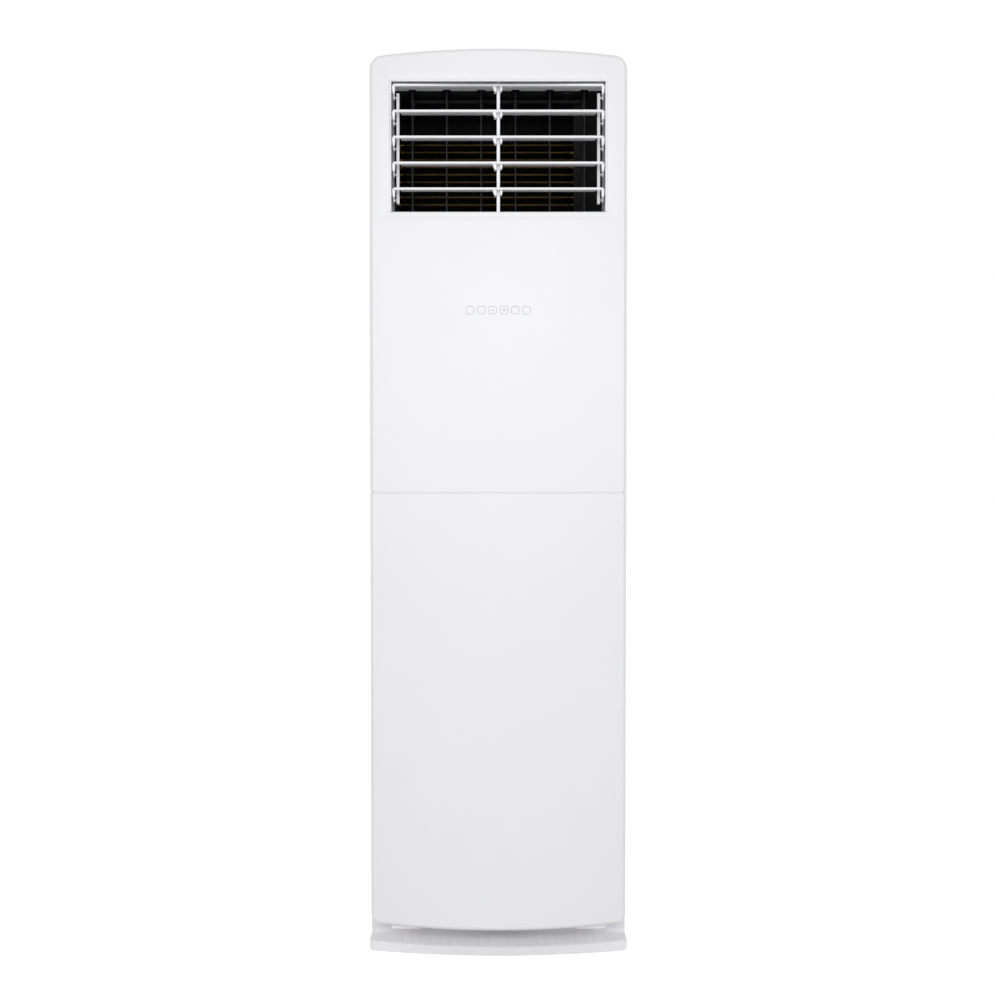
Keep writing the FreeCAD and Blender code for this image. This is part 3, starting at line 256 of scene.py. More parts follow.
def start_tree(name, inputs):
    """A geometry tree with named size inputs, and its input node's sockets."""
    tree = bpy.data.node_groups.new(name, "GeometryNodeTree")
    tree.interface.new_socket("Geometry", in_out="OUTPUT", socket_type="NodeSocketGeometry")
    for label, value in inputs.items():
        kind = "NodeSocketInt" if isinstance(value, int) else "NodeSocketFloat"
        tree.interface.new_socket(label, in_out="INPUT", socket_type=kind)
    return tree, add_node(tree, "NodeGroupInput").outputs


def run_tree(tree, inputs, geometry, material):
    """Close the tree with realised instances and a material, set its sizes and take the plain mesh."""
    real = add_node(tree, "GeometryNodeRealizeInstances", None, {"Geometry": geometry})
    dressed = add_node(tree, "GeometryNodeSetMaterial", {"Material": material}, {"Geometry": real.outputs[0]})
    add_node(tree, "NodeGroupOutput", None, {"Geometry": dressed.outputs[0]})
    holder = in_scene(tree.name, bpy.data.meshes.new(tree.name))
    modifier = holder.modifiers.new(tree.name, "NODES")
    modifier.node_group = tree
    for socket in tree.interface.items_tree:
        if socket.in_out == "INPUT":
            modifier[socket.identifier] = inputs[socket.name]
    return finished_mesh(holder)


def round_bar(tree, end, steps, radius):
    """A round bar from the origin to an end, a unit long, to be scaled to its sizes."""
    spine = add_node(tree, "GeometryNodeCurvePrimitiveLine", {"End": end})
    section = add_node(tree, "GeometryNodeCurvePrimitiveCircle", {"Resolution": steps, "Radius": radius})
    bar = add_node(tree, "GeometryNodeCurveToMesh", {"Fill Caps": True},
                   {"Curve": spine.outputs[0], "Profile Curve": section.outputs[0]})
    return bar.outputs[0]


def row_of(tree, piece, count, start, step, scale=None):
    """Copies of a piece in a straight row. Start and step hold a socket for each axis that isn't zero."""
    first = add_node(tree, "ShaderNodeCombineXYZ", None, start)
    pitch = add_node(tree, "ShaderNodeCombineXYZ", None, step)
    line = add_node(tree, "GeometryNodeMeshLine", {"mode": "OFFSET"},
                    {"Count": count, "Start Location": first.outputs[0], "Offset": pitch.outputs[0]})
    links = {"Points": line.outputs[0], "Instance": piece}
    if scale is not None:
        links["Scale"] = scale
    return add_node(tree, "GeometryNodeInstanceOnPoints", None, links).outputs[0]


rib_sizes = {"Count": rib_count, "Pitch": rib_pitch, "Width": rib_width, "Height": rib_height,
             "Reach": plinth_rim_y - edge_y - rib_setback, "Bow": lip_bow, "Half": plinth_half,
             "Rim Y": plinth_rim_y, "Ledge Z": lip_height}
tree, size = start_tree("plinth ledge ribs", rib_sizes)
gaps = add_node(tree, "ShaderNodeMath", {"operation": "SUBTRACT", 1: 1.0}, {0: size["Count"]})
span = add_node(tree, "ShaderNodeMath", {"operation": "MULTIPLY"}, {0: gaps.outputs[0], 1: size["Pitch"]})
first_x = add_node(tree, "ShaderNodeMath", {"operation": "MULTIPLY", 1: -0.5}, {0: span.outputs[0]})
here = add_node(tree, "ShaderNodeSeparateXYZ", None,
                {0: add_node(tree, "GeometryNodeInputPosition").outputs[0]})
share = add_node(tree, "ShaderNodeMath", {"operation": "DIVIDE"}, {0: here.outputs["X"], 1: size["Half"]})
square = add_node(tree, "ShaderNodeMath", {"operation": "MULTIPLY"},
                  {0: share.outputs[0], 1: share.outputs[0]})
left = add_node(tree, "ShaderNodeMath", {"operation": "SUBTRACT", 0: 1.0}, {1: square.outputs[0]})
bowed = add_node(tree, "ShaderNodeMath", {"operation": "MULTIPLY"}, {0: left.outputs[0], 1: size["Bow"]})
length = add_node(tree, "ShaderNodeMath", {"operation": "ADD"}, {0: bowed.outputs[0], 1: size["Reach"]})
half_rib = add_node(tree, "ShaderNodeMath", {"operation": "MULTIPLY", 1: 0.5}, {0: size["Width"]})
growth = add_node(tree, "ShaderNodeCombineXYZ", None,
                  {"X": half_rib.outputs[0], "Y": length.outputs[0], "Z": size["Height"]})
ribs = row_of(tree, round_bar(tree, (0, -1, 0), 12, 1.0), size["Count"],
              {"X": first_x.outputs[0], "Y": size["Rim Y"], "Z": size["Ledge Z"]}, {"X": size["Pitch"]},
              growth.outputs[0])
rib_mesh = run_tree(tree, rib_sizes, ribs, plinth_abs)
new_piece("plinth_ledge_ribs", rib_mesh, plinth_abs, "cabinet", "white_trim")

# Base pan and inner sheet metal. Folded from hot-dip galvanised steel: the pan stands on the floor
# inside the plinth, and the deck, air guide and electrical box are screwed to the cabinet above it.


def finish_nodes(material, *nodes):
    """Give carried-over pieces their finish."""
    for node in nodes:
        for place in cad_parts[node].material_slots:
            place.material = material


def galvanised_steel(name, pale, shade):
    """Galvanised steel. Zinc crystals a few millimetres across, each with its own tone and gloss."""
    spangle_size = 9 * mm
    material, tree, shader, place = start_material(name, Metallic=0.9)
    spangle = add_node(tree, "ShaderNodeTexVoronoi", {"Scale": 1 / spangle_size}, {"Vector": place})
    grey = add_node(tree, "ShaderNodeRGBToBW", None, {"Color": spangle.outputs["Color"]})
    tone = add_node(tree, "ShaderNodeMix", {"data_type": "RGBA", 6: linear(pale), 7: linear(shade)},
                    {"Factor": grey.outputs[0]})
    gloss = add_node(tree, "ShaderNodeMapRange", {"To Min": 0.35, "To Max": 0.55}, {"Value": grey.outputs[0]})
    wire(tree, shader, {"Base Color": tone.outputs[2], "Roughness": gloss.outputs["Result"]})
    return material


zinc = galvanised_steel("galvanised steel sheet, spangled", "#C9CCCE", "#A9ADB1")
finish_nodes(zinc, "base_pan", "blower_deck", "air_guide_panel", "electrical_box", "electrical_box_cover")

# Side and back panels. Steel sheet, folded at the edges and powder coated white. The back panel laps
# the sides' rear flanges and is held by a column of screws along each.


def powder_coat(name, pale, shade):
    """Powder-coated steel. A satin film with the soft orange peel of melted powder, some millimetres wide."""
    peel_size = 3.5 * mm
    peel_height = 0.2 * mm
    drift_size = 200 * mm
    material, tree, shader, place = start_material(name, IOR=1.5)
    drift = add_node(tree, "ShaderNodeTexNoise", {"Scale": 1 / drift_size, "Detail": 1.0}, {"Vector": place})
    tone = add_node(tree, "ShaderNodeMix", {"data_type": "RGBA", 6: linear(pale), 7: linear(shade)},
                    {"Factor": drift.outputs["Fac"]})
    peel = add_node(tree, "ShaderNodeTexNoise", {"Scale": 1 / peel_size, "Detail": 1.0}, {"Vector": place})
    gloss = add_node(tree, "ShaderNodeMapRange", {"To Min": 0.32, "To Max": 0.42},
                     {"Value": peel.outputs["Fac"]})
    bump = add_node(tree, "ShaderNodeBump", {"Strength": 0.15, "Distance": peel_height},
                    {"Height": peel.outputs["Fac"]})
    wire(tree, shader, {"Base Color": tone.outputs[2], "Roughness": gloss.outputs["Result"],
                        "Normal": bump.outputs["Normal"]})
    return material


cabinet_paint = powder_coat("powder-coated steel, satin white", "#EFEFF1", "#EAEAED")
finish_nodes(cabinet_paint, "side_panel_left", "side_panel_right", "back_panel")

# Back panel screws. Zinc-plated pan heads with a cross recess, driven through the back panel into the
# side panels' flanges, five to a side.
screw_low, screw_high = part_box("cabinet_screws")
seat_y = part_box("back_panel")[1].y
screw_radius = 4 * mm
screw_rows = 5
recess_width = 1.3 * mm
recess_reach = 4.6 * mm
screw_sizes = {"Rows": screw_rows, "Radius": screw_radius, "Crown": screw_high.y - seat_y,
               "Recess Width": recess_width, "Recess Reach": recess_reach,
               "Column Gap": screw_high.x - screw_low.x - 2 * screw_radius,
               "Column Height": screw_high.z - screw_low.z - 2 * screw_radius,
               "Seat Y": seat_y, "Middle Z": (screw_low.z + screw_high.z) / 2}


def mottled_metal(name, pale, shade, metallic, roughness, patch_size, detail=3.0):
    """Plated, coated or tarnished metal. Cloudy patches or turning marks vary its tone and gloss."""
    gloss_spread = 0.08
    material, tree, shader, place = start_material(name, Metallic=metallic)
    patch = add_node(tree, "ShaderNodeTexNoise", {"Scale": 1 / patch_size, "Detail": detail},
                     {"Vector": place})
    tone = add_node(tree, "ShaderNodeMix", {"data_type": "RGBA", 6: linear(pale), 7: linear(shade)},
                    {"Factor": patch.outputs["Fac"]})
    gloss = add_node(tree, "ShaderNodeMapRange",
                     {"To Min": roughness - gloss_spread, "To Max": roughness + gloss_spread},
                     {"Value": patch.outputs["Fac"]})
    wire(tree, shader, {"Base Color": tone.outputs[2], "Roughness": gloss.outputs["Result"]})
    return material


plated = mottled_metal("steel, bright zinc plate", "#C6CACD", "#9EA3A8",
                       metallic=1.0, roughness=0.35, patch_size=1.2 * mm, detail=4.0)
tree, size = start_tree("back panel screws", screw_sizes)
dome = add_node(tree, "GeometryNodeMeshUVSphere", {"Segments": 24, "Rings": 12, "Radius": 1.0})
pressed = add_node(tree, "ShaderNodeCombineXYZ", None,
                   {"X": size["Radius"], "Y": size["Crown"], "Z": size["Radius"]})
head = add_node(tree, "GeometryNodeTransform", None,
                {"Geometry": dome.outputs["Mesh"], "Scale": pressed.outputs[0]})
recessed = add_node(tree, "GeometryNodeMeshBoolean", {"operation": "DIFFERENCE"}, {"Mesh 1": head.outputs[0]})
lifted = add_node(tree, "ShaderNodeCombineXYZ", None, {"Y": size["Crown"]})
for along, across in (("X", "Z"), ("Z", "X")):
    extent = add_node(tree, "ShaderNodeCombineXYZ", None,
                      {along: size["Recess Reach"], across: size["Recess Width"], "Y": size["Crown"]})
    bar = add_node(tree, "GeometryNodeMeshCube", None, {"Size": extent.outputs[0]})
    slot_bar = add_node(tree, "GeometryNodeTransform", None,
                        {"Geometry": bar.outputs["Mesh"], "Translation": lifted.outputs[0]})
    wire(tree, recessed, {"Mesh 2": slot_bar.outputs[0]})
places = add_node(tree, "GeometryNodeMeshGrid", {"Vertices X": 2},
                  {"Size X": size["Column Gap"], "Size Y": size["Column Height"], "Vertices Y": size["Rows"]})
seat = add_node(tree, "ShaderNodeCombineXYZ", None, {"Y": size["Seat Y"], "Z": size["Middle Z"]})
upright = add_node(tree, "GeometryNodeTransform", {"Rotation": (math.radians(90), 0, 0)},
                   {"Geometry": places.outputs["Mesh"], "Translation": seat.outputs[0]})
heads = add_node(tree, "GeometryNodeInstanceOnPoints", None,
                 {"Points": upright.outputs[0], "Instance": recessed.outputs[0]})
screw_mesh = run_tree(tree, screw_sizes, heads.outputs[0], plated)
new_piece("back_panel_screws", screw_mesh, plated, "cabinet", "steel", "cabinet_screws")

# Top cover and rear fittings. A white ABS cap snaps over the top of the cabinet. A rubber grommet lines
# the pipe hole at the back, and a black nylon gland holds the lead's hole.
cap_abs = moulded_plastic("ABS cap, spark-textured mould", "#F1F1F3", "#ECECEF",
                          roughness=0.42, grain=1.6 * mm, relief=0.10)
finish_nodes(cap_abs, "top_cover")
grommet_rubber = moulded_plastic("EPDM rubber, moulded", "#2B2B2D", "#232325",
                                 roughness=0.65, grain=1.0 * mm, relief=0.25)
finish_nodes(grommet_rubber, "pipe_grommet", "drain_hose")
gland_nylon = moulded_plastic("nylon, moulded black", "#1E1E20", "#18181A",
                              roughness=0.5, grain=1.0 * mm, relief=0.2)
finish_nodes(gland_nylon, "cable_gland", "terminal_block")

# Blower. A wide centrifugal wheel of grey polypropylene runs in a galvanised scroll housing; its
# motor hangs on the housing's back wall and the front plate carries the inlet's bell mouth.
housing_zinc = galvanised_steel("galvanised steel, scroll housing", "#B9BDC0", "#9BA0A4")
finish_nodes(housing_zinc, "blower_housing", "blower_front_plate")
wheel_plastic = moulded_plastic("polypropylene, glass filled", "#4A4D50", "#404346",
                                roughness=0.5, grain=2.0 * mm, relief=0.2)
finish_nodes(wheel_plastic, "blower_wheel")
motor_paint = powder_coat("painted motor can, dark grey", "#55585B", "#4C4F52")
finish_nodes(motor_paint, "blower_motor", "swing_motor", "louver_motor")
finish_nodes(plated, "blower_shaft", "lower_panel_hinge_pins")

# Circuit boards. Glass-epoxy laminate with a green solder mask over the copper tracks, standing on
# posts in the electrical box, with a smaller one behind the touch keys.


def solder_mask(name):
    """Green solder mask. Tracks a few millimetres apart show through it as a lighter green relief."""
    track_size = 6 * mm
    track_height = 0.1 * mm
    material, tree, shader, place = start_material(name, IOR=1.5, Roughness=0.3)
    tracks = add_node(tree, "ShaderNodeTexVoronoi", {"Scale": 1 / track_size, "distance": "MANHATTAN"},
                      {"Vector": place})
    edge = add_node(tree, "ShaderNodeMapRange", {"From Min": 0.35, "From Max": 0.5},
                    {"Value": tracks.outputs["Distance"]})
    tone = add_node(tree, "ShaderNodeMix", {"data_type": "RGBA", 6: linear("#1E5A3A"), 7: linear("#2F7A50")},
                    {"Factor": edge.outputs["Result"]})
    bump = add_node(tree, "ShaderNodeBump", {"Strength": 0.3, "Distance": track_height},
                    {"Height": edge.outputs["Result"]})
    wire(tree, shader, {"Base Color": tone.outputs[2], "Normal": bump.outputs["Normal"]})
    return material


finish_nodes(solder_mask("glass-epoxy board, green solder mask"), "main_board", "display_board")

# Evaporator. Thin aluminium fins are pressed on two rows of copper tubes, with galvanised end plates.
# The fins and the end plates are coloured near black as painted shade, for the unlit inside of the cabinet.
# The coil leans back behind the outlet, so its tubes show as faint warm lines.
fin_pitch = 1.9 * mm
fin_thickness = 0.2 * mm
fin_depth = 36 * mm
fin_height = 381 * mm
coil_lean = math.radians(20)
fins_low, fins_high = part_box("evaporator_fins")
# The fins' near-black colour is painted shade for the unlit depth of the coil, not a coating.
fin_painted_shade = mottled_metal("aluminium fin, black as painted shade", "#121110", "#0B0A0A",
                          metallic=0.0, roughness=0.6, patch_size=40 * mm)
fin_sizes = {"Count": int((fins_high.x - fins_low.x) / fin_pitch), "Pitch": fin_pitch,
             "Thickness": fin_thickness, "Depth": fin_depth, "Height": fin_height,
             "Left X": fins_low.x + fin_pitch / 2,
             "Foot Y": fins_low.y, "Foot Z": fins_high.z - fin_height * math.cos(coil_lean)}
tree, size = start_tree("evaporator fin stack", fin_sizes)
extent = add_node(tree, "ShaderNodeCombineXYZ", None,
                  {"X": size["Thickness"], "Y": size["Depth"], "Z": size["Height"]})
plate = add_node(tree, "GeometryNodeMeshCube", None, {"Size": extent.outputs[0]})
half_depth = add_node(tree, "ShaderNodeMath", {"operation": "MULTIPLY", 1: 0.5}, {0: size["Depth"]})
half_height = add_node(tree, "ShaderNodeMath", {"operation": "MULTIPLY", 1: 0.5}, {0: size["Height"]})
foot = add_node(tree, "ShaderNodeCombineXYZ", None, {"Y": half_depth.outputs[0], "Z": half_height.outputs[0]})
stood = add_node(tree, "GeometryNodeTransform", None,
                 {"Geometry": plate.outputs["Mesh"], "Translation": foot.outputs[0]})
leaned = add_node(tree, "GeometryNodeTransform", {"Rotation": (-coil_lean, 0, 0)},
                  {"Geometry": stood.outputs[0]})
stack = row_of(tree, leaned.outputs[0], size["Count"],
               {"X": size["Left X"], "Y": size["Foot Y"], "Z": size["Foot Z"]}, {"X": size["Pitch"]})
fin_mesh = run_tree(tree, fin_sizes, stack, fin_painted_shade)
new_piece("evaporator_fin_stack", fin_mesh, fin_painted_shade, "cabinet", "fin_aluminium", "evaporator_fins")
tube_copper = mottled_metal("copper tube, dull tarnish", "#877044", "#6C5834",
                            metallic=1.0, roughness=0.45, patch_size=30 * mm)
finish_nodes(tube_copper, "evaporator_tubes")
pipe_copper = mottled_metal("copper pipe, drawn", "#B87848", "#9C6238",
                            metallic=1.0, roughness=0.35, patch_size=30 * mm)
finish_nodes(pipe_copper, "gas_pipe", "liquid_pipe")
nut_brass = mottled_metal("brass, forged and turned", "#C8A85A", "#AD8E46",
                          metallic=1.0, roughness=0.35, patch_size=12 * mm)
finish_nodes(nut_brass, "flare_nuts")
# Galvanised steel with its spangle, darkened to near black as painted shade for the dark inside of the
# cabinet.
end_plate_painted_shade = galvanised_steel("galvanised steel, coil end plate", "#3A3C3E", "#2C2E30")
finish_nodes(end_plate_painted_shade, "evaporator_end_plates")
tray_foam = moulded_plastic("expanded polystyrene, moulded tray", "#E4E5E6", "#DADBDD",
                            roughness=0.8, grain=4 * mm, relief=0.4)
finish_nodes(tray_foam, "drain_tray")

# Shade lining. Black closed-cell foam lines the compartment round the coil: a sheet under the top cover, one
# on each side and the back, and an upright strip beside each end of the coil, glued to the sheet metal. Its
# black is painted shade, so that the deep inside of the cabinet reads as shadow.
foam_sheet = 6 * mm
foam_gap = 1.5 * mm
lining_low_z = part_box("drain_tray")[1].z + foam_gap
lining_high_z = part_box("top_cover")[0].z - foam_gap
lining_front_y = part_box("outlet_duct")[1].y + foam_gap
lining_back_y = screw_low.y - foam_gap / 3
lining_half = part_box("air_guide_panel")[1].x - foam_gap
strip_low_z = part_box("air_guide_panel")[1].z + foam_gap
plates_low, plates_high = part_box("evaporator_end_plates")


def foamed(name, pale, shade):
    """Closed-cell foam. Black and dull as painted shade, with the small round cells of its skin."""
    cell_size = 2.5 * mm
    cell_height = 0.5 * mm
    material, tree, shader, place = start_material(name, IOR=1.45, Roughness=0.9)
    cells = add_node(tree, "ShaderNodeTexVoronoi", {"Scale": 1 / cell_size}, {"Vector": place})
    tone = add_node(tree, "ShaderNodeMix", {"data_type": "RGBA", 6: linear(pale), 7: linear(shade)},
                    {"Factor": cells.outputs["Distance"]})
    bump = add_node(tree, "ShaderNodeBump", {"Strength": 0.4, "Distance": cell_height},
                    {"Height": cells.outputs["Distance"]})
    wire(tree, shader, {"Base Color": tone.outputs[2], "Normal": bump.outputs["Normal"]})
    return material


def block(shape, low, high):
    """A plain block between two corners, its faces outward."""
    for vertex in bmesh.ops.create_cube(shape, size=1)["verts"]:
        vertex.co = [low[axis] if vertex.co[axis] < 0 else high[axis] for axis in range(3)]


foam_shape = bmesh.new()
sheet_top_z = lining_high_z - foam_sheet
side_x = lining_half - foam_sheet
block(foam_shape, (-lining_half, lining_front_y, sheet_top_z), (lining_half, lining_back_y, lining_high_z))
block(foam_shape, (-side_x, lining_back_y - foam_gap, lining_low_z), (side_x, lining_back_y, sheet_top_z))
for side, plate_x in ((-1, plates_low.x), (1, plates_high.x)):
    near, far = sorted((side * side_x, side * lining_half))
    block(foam_shape, (near, lining_front_y, lining_low_z), (far, lining_back_y, sheet_top_z))
    near, far = sorted((plate_x + side * foam_gap, side * side_x))
    block(foam_shape, (near, lining_front_y, strip_low_z),
          (far, lining_front_y + foam_sheet / 2, sheet_top_z))
# Near-black foam, put here as painted shade for the unlit compartment round the coil.
foam_painted_shade = foamed("closed-cell foam, black", "#0D0D0E", "#080809")
new_piece("coil_shade_lining", foam_shape, foam_painted_shade, "cabinet", "hose_rubber")

# Outlet duct and vane rails. The pale grey ABS box behind the window leads the air forward, and the two
# rails across it hold the vanes' pins. The upper rail's edge is notched where each vane's head goes in.
duct_abs = moulded_plastic("ABS duct, pale grey, plain mould", "#F4F4F7", "#EEEEF2",
                           roughness=0.5, grain=1.6 * mm, relief=0.10)
finish_nodes(duct_abs, "outlet_duct")


def flocked_plastic(name, plain, painted_shade, plain_reach):
    """Pale plastic, black behind a reach from the front as painted shade, so that its hidden depth reads as
    shadow.
    """
    pile_size = 1.2 * mm
    pile_height = 0.2 * mm
    blend_reach = 1 * mm
    material, tree, shader, place = start_material(name, IOR=1.5)
    depth = add_node(tree, "ShaderNodeSeparateXYZ", None, {0: place})
    pile = add_node(tree, "ShaderNodeTexNoise", {"Scale": 1 / pile_size, "Detail": 3.0}, {"Vector": place})
    shaded = add_node(tree, "ShaderNodeMapRange",
                       {"From Min": plain_reach, "From Max": plain_reach + blend_reach},
                       {"Value": depth.outputs["Y"]})
    tone = add_node(tree, "ShaderNodeMix", {"data_type": "RGBA", 6: linear(plain), 7: linear(painted_shade)},
                    {"Factor": shaded.outputs["Result"]})
    gloss = add_node(tree, "ShaderNodeMapRange", {"To Min": 0.5, "To Max": 0.95},
                     {"Value": shaded.outputs["Result"]})
    bump = add_node(tree, "ShaderNodeBump", {"Strength": 0.2, "Distance": pile_height},
                    {"Height": pile.outputs["Fac"]})
    wire(tree, shader, {"Base Color": tone.outputs[2], "Roughness": gloss.outputs["Result"],
                        "Normal": bump.outputs["Normal"]})
    return material


def prism(shape, outline, low, high, place):
    """A straight piece with a flat outline between two levels. place makes points of outline and level."""
    ends = [[shape.verts.new(place(u, v, level)) for u, v in outline] for level in (low, high)]
    for corner in range(len(outline)):
        after = (corner + 1) % len(outline)
        shape.faces.new((ends[0][corner], ends[0][after], ends[1][after], ends[1][corner]))
    shape.faces.new(ends[0][::-1])
    shape.faces.new(ends[1])


rail_low, rail_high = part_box("vane_rail_top")
rail_pale_depth = 4 * mm
notch_half = 4.5 * mm
notch_flare = 4 * mm
notch_height = 4.5 * mm
rail_edge = 0.8 * mm
bore_setback = 15 * mm
pin_bore_radius = 2.4 * mm
pin_bore_depth = 9.2 * mm
shaft_bore_radius = 3 * mm
shaft_bore_depth = 20 * mm
bore_sides = 24
vanes = ["vane_" + str(place) for place in range(1, 7)]
# The rails are pale at the front and black behind as painted shade, which darkens the notches and the depth
# behind them.
rail_abs = flocked_plastic("ABS vane rail, pale grey, flocked behind", "#E8E8EC", "#0C0C0D",
                           rail_low.y + rail_pale_depth)
finish_nodes(rail_abs, "vane_rail_bottom")
rail_outline = [(rail_low.x, rail_high.z), (rail_low.x, rail_low.z)]
for vane in vanes:
    pin_x = (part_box(vane)[0].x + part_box(vane)[1].x) / 2
    rail_outline += [(pin_x + side * (notch_half + flare), rail_low.z + lift) for side, flare, lift in (
        (-1, notch_flare, 0), (-1, 0, notch_height), (1, 0, notch_height), (1, notch_flare, 0))]
rail_outline += [(rail_high.x, rail_low.z), (rail_high.x, rail_high.z)]
rail_shape = bmesh.new()
prism(rail_shape, rail_outline, rail_low.y, rail_high.y, lambda x, z, y: (x, y, z))
bore_shape = bmesh.new()
bores = [(vane, pin_bore_radius, pin_bore_depth) for vane in vanes]
for name, radius, depth in bores + [("swing_crank", shaft_bore_radius, shaft_bore_depth)]:
    low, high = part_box(name)
    middle = Vector(((low.x + high.x) / 2, rail_low.y + bore_setback, rail_low.z))
    bmesh.ops.create_cone(bore_shape, cap_ends=True, segments=bore_sides, radius1=radius, radius2=radius,
                          depth=2 * depth, matrix=Matrix.Translation(middle))
cutter = in_scene("bores", as_mesh("bores", bore_shape))
rail_mesh = with_modifiers(rail_shape, ("BOOLEAN", {"operation": "DIFFERENCE", "object": cutter}),
                           rounded_edges(rail_edge))
bpy.data.objects.remove(cutter)
new_piece("vane_rail_notched", rail_mesh, rail_abs, "cabinet", "white_trim", "vane_rail_top")

# Vanes. Six upright black ABS blades swing together: an acetal tie bar joins their tails and a crank on
# the swing motor's shaft moves the bar.
vane_abs = moulded_plastic("ABS vane, black, matt mould", "#1A1A1C", "#141416",
                           roughness=0.55, grain=1.2 * mm, relief=0.15)
finish_nodes(vane_abs, "swing_crank", *vanes)
tie_acetal = moulded_plastic("acetal tie bar, black, matt mould", "#09090A", "#060607",
                             roughness=0.85, grain=1.2 * mm, relief=0.1)
finish_nodes(tie_acetal, "vane_tie_bar")

# Louvers. Five white ABS blades with a round nose turn on end pins and on the upright rib in the middle;
# a link bar at each end keeps them parallel.
louver_abs = moulded_plastic("ABS louver, white, polished mould", "#F9F9FB", "#F5F5F8",
                             roughness=0.32, grain=1.2 * mm, relief=0.05)
louvers = ["louver_" + str(place) for place in range(1, 6)]
finish_nodes(louver_abs, "louver_link_left", "louver_link_right", "outlet_centre_rib", *louvers)

# Louver gussets. Under each blade's nose a moulded web stiffens the arm at either end, with another web and
# a round clip beside the middle rib. They are part of the blade's moulding.
gusset_depth = 8 * mm
gusset_setback = 3.5 * mm
gusset_edge = 0.6 * mm
gusset_gap = 0.5 * mm
nose_drop = 6 * mm
web_end_inset = 42 * mm
web_heel_drop = 6 * mm
web_toe = 4 * mm
web_toe_drop = 17 * mm
web_shin = 1.5 * mm
web_shin_drop = 15 * mm
rib_web_top = 9 * mm
rib_web_foot = 4.5 * mm
rib_web_drop = 12 * mm
clip_top = 3 * mm
clip_bulge = 5 * mm
clip_foot = 4 * mm
clip_drop = 11 * mm
end_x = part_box("outlet_duct")[1].x - web_end_inset
link_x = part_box("louver_link_right")[1].x
rib_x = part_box("outlet_centre_rib")[1].x
end_web = [(link_x + gusset_gap, 0), (end_x, 0), (end_x, web_heel_drop), (link_x + web_toe, web_toe_drop),
           (link_x + web_shin, web_shin_drop)]
rib_web = [(-rib_x - rib_web_top, 0), (-rib_x - gusset_gap, 0), (-rib_x - gusset_gap, rib_web_drop),
           (-rib_x - rib_web_foot, rib_web_drop)]
rib_clip = [(rib_x + gusset_gap, 0), (rib_x + clip_top, 0), (rib_x + clip_bulge, clip_bulge),
            (rib_x + clip_foot, clip_drop), (rib_x + gusset_gap, clip_drop)]
outlines = [[(-x, drop) for x, drop in end_web], end_web, rib_web, rib_clip]
for louver in louvers:
    low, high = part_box(louver)
    front_y = low.y + gusset_setback
    top_z = high.z - nose_drop
    gusset_shape = bmesh.new()
    for outline in outlines:
        prism(gusset_shape, outline, front_y, front_y + gusset_depth, lambda x, drop, y: (x, y, top_z - drop))
    gusset_mesh = with_modifiers(gusset_shape, rounded_edges(gusset_edge))
    new_piece(louver + "_gussets", gusset_mesh, louver_abs, louver, "white_trim")

# Intake grilles. A white ABS frame low on each side, with rounded slats across it. It clips flush into the
# side panel and pulls out with the filter behind it.
grille_margin = 7 * mm
grille_plate = 3 * mm
grille_corner = 3 * mm
sleeve_inset = 2 * mm
slat_count = 41
slat_height = 6.6 * mm
slat_depth = 4.4 * mm
slat_sink = 0.2 * mm
slat_overlap = 1 * mm
grille_abs = moulded_plastic("ABS grille, spark-textured mould", "#EDEDF0", "#E8E8EB",
                             roughness=0.45, grain=1.6 * mm, relief=0.10)


def rounded_loop(low_u, high_u, low_v, high_v, radius):
    """Points round a rectangle with rounded corners, in two directions."""
    points = []
    for turn, (u, v) in enumerate(((high_u, high_v), (low_u, high_v), (low_u, low_v), (high_u, low_v))):
        middle_u = u - radius if u == high_u else u + radius
        middle_v = v - radius if v == high_v else v + radius
        for place in range(corner_steps + 1):
            angle = math.pi / 2 * (turn + place / corner_steps)
            points.append((middle_u + radius * math.cos(angle), middle_v + radius * math.sin(angle)))
    return points


def closed(points):
    """A loop that ends where it starts."""
    return points + points[:1]


for side, hand in ((-1, "left"), (1, "right")):
    low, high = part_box("intake_grille_" + hand)
    outer_x = side * max(abs(low.x), abs(high.x))
    inner_x = side * min(abs(low.x), abs(high.x))
    rim, mouth, sleeve = [
        closed(rounded_loop(low.y + inset, high.y - inset, low.z + inset, high.z - inset, grille_corner))
        for inset in (0, grille_margin, sleeve_inset)]
    plate_x = outer_x - side * grille_plate
    rings = [(inner_x, sleeve), (inner_x, rim), (outer_x, rim), (outer_x, mouth), (plate_x, mouth),
             (plate_x, sleeve), (inner_x, sleeve)]
    frame_shape = bmesh.new()
    skin(frame_shape, [[(x, y, z) for y, z in ring] for x, ring in rings])
    seal(frame_shape)
    new_piece("intake_frame_" + hand, frame_shape, grille_abs, "intake_" + hand, "white_trim",
              "intake_grille_" + hand)
    slat_sizes = {"Count": slat_count, "Slat Height": slat_height, "Slat Depth": slat_depth,
                  "Slat X": outer_x - side * (slat_depth / 2 + slat_sink),
                  "Front Y": low.y + grille_margin - slat_overlap,
                  "Slat Length": high.y - low.y - 2 * (grille_margin - slat_overlap),
                  "Low Z": low.z + grille_margin,
                  "Pitch": (high.z - low.z - 2 * grille_margin) / (slat_count - 1)}
    tree, size = start_tree("intake slats " + hand, slat_sizes)
    growth = add_node(tree, "ShaderNodeCombineXYZ", None,
                      {"X": size["Slat Depth"], "Y": size["Slat Length"], "Z": size["Slat Height"]})
    slats = row_of(tree, round_bar(tree, (0, 1, 0), 16, 0.5), size["Count"],
                   {"X": size["Slat X"], "Y": size["Front Y"], "Z": size["Low Z"]}, {"Z": size["Pitch"]},
                   growth.outputs[0])
    slat_mesh = run_tree(tree, slat_sizes, slats, grille_abs)
    new_piece("intake_slats_" + hand, slat_mesh, grille_abs, "intake_" + hand, "white_trim")

# Air filters. A polypropylene frame with a woven net across it is clipped behind each grille, and comes
# out of the cabinet with it.


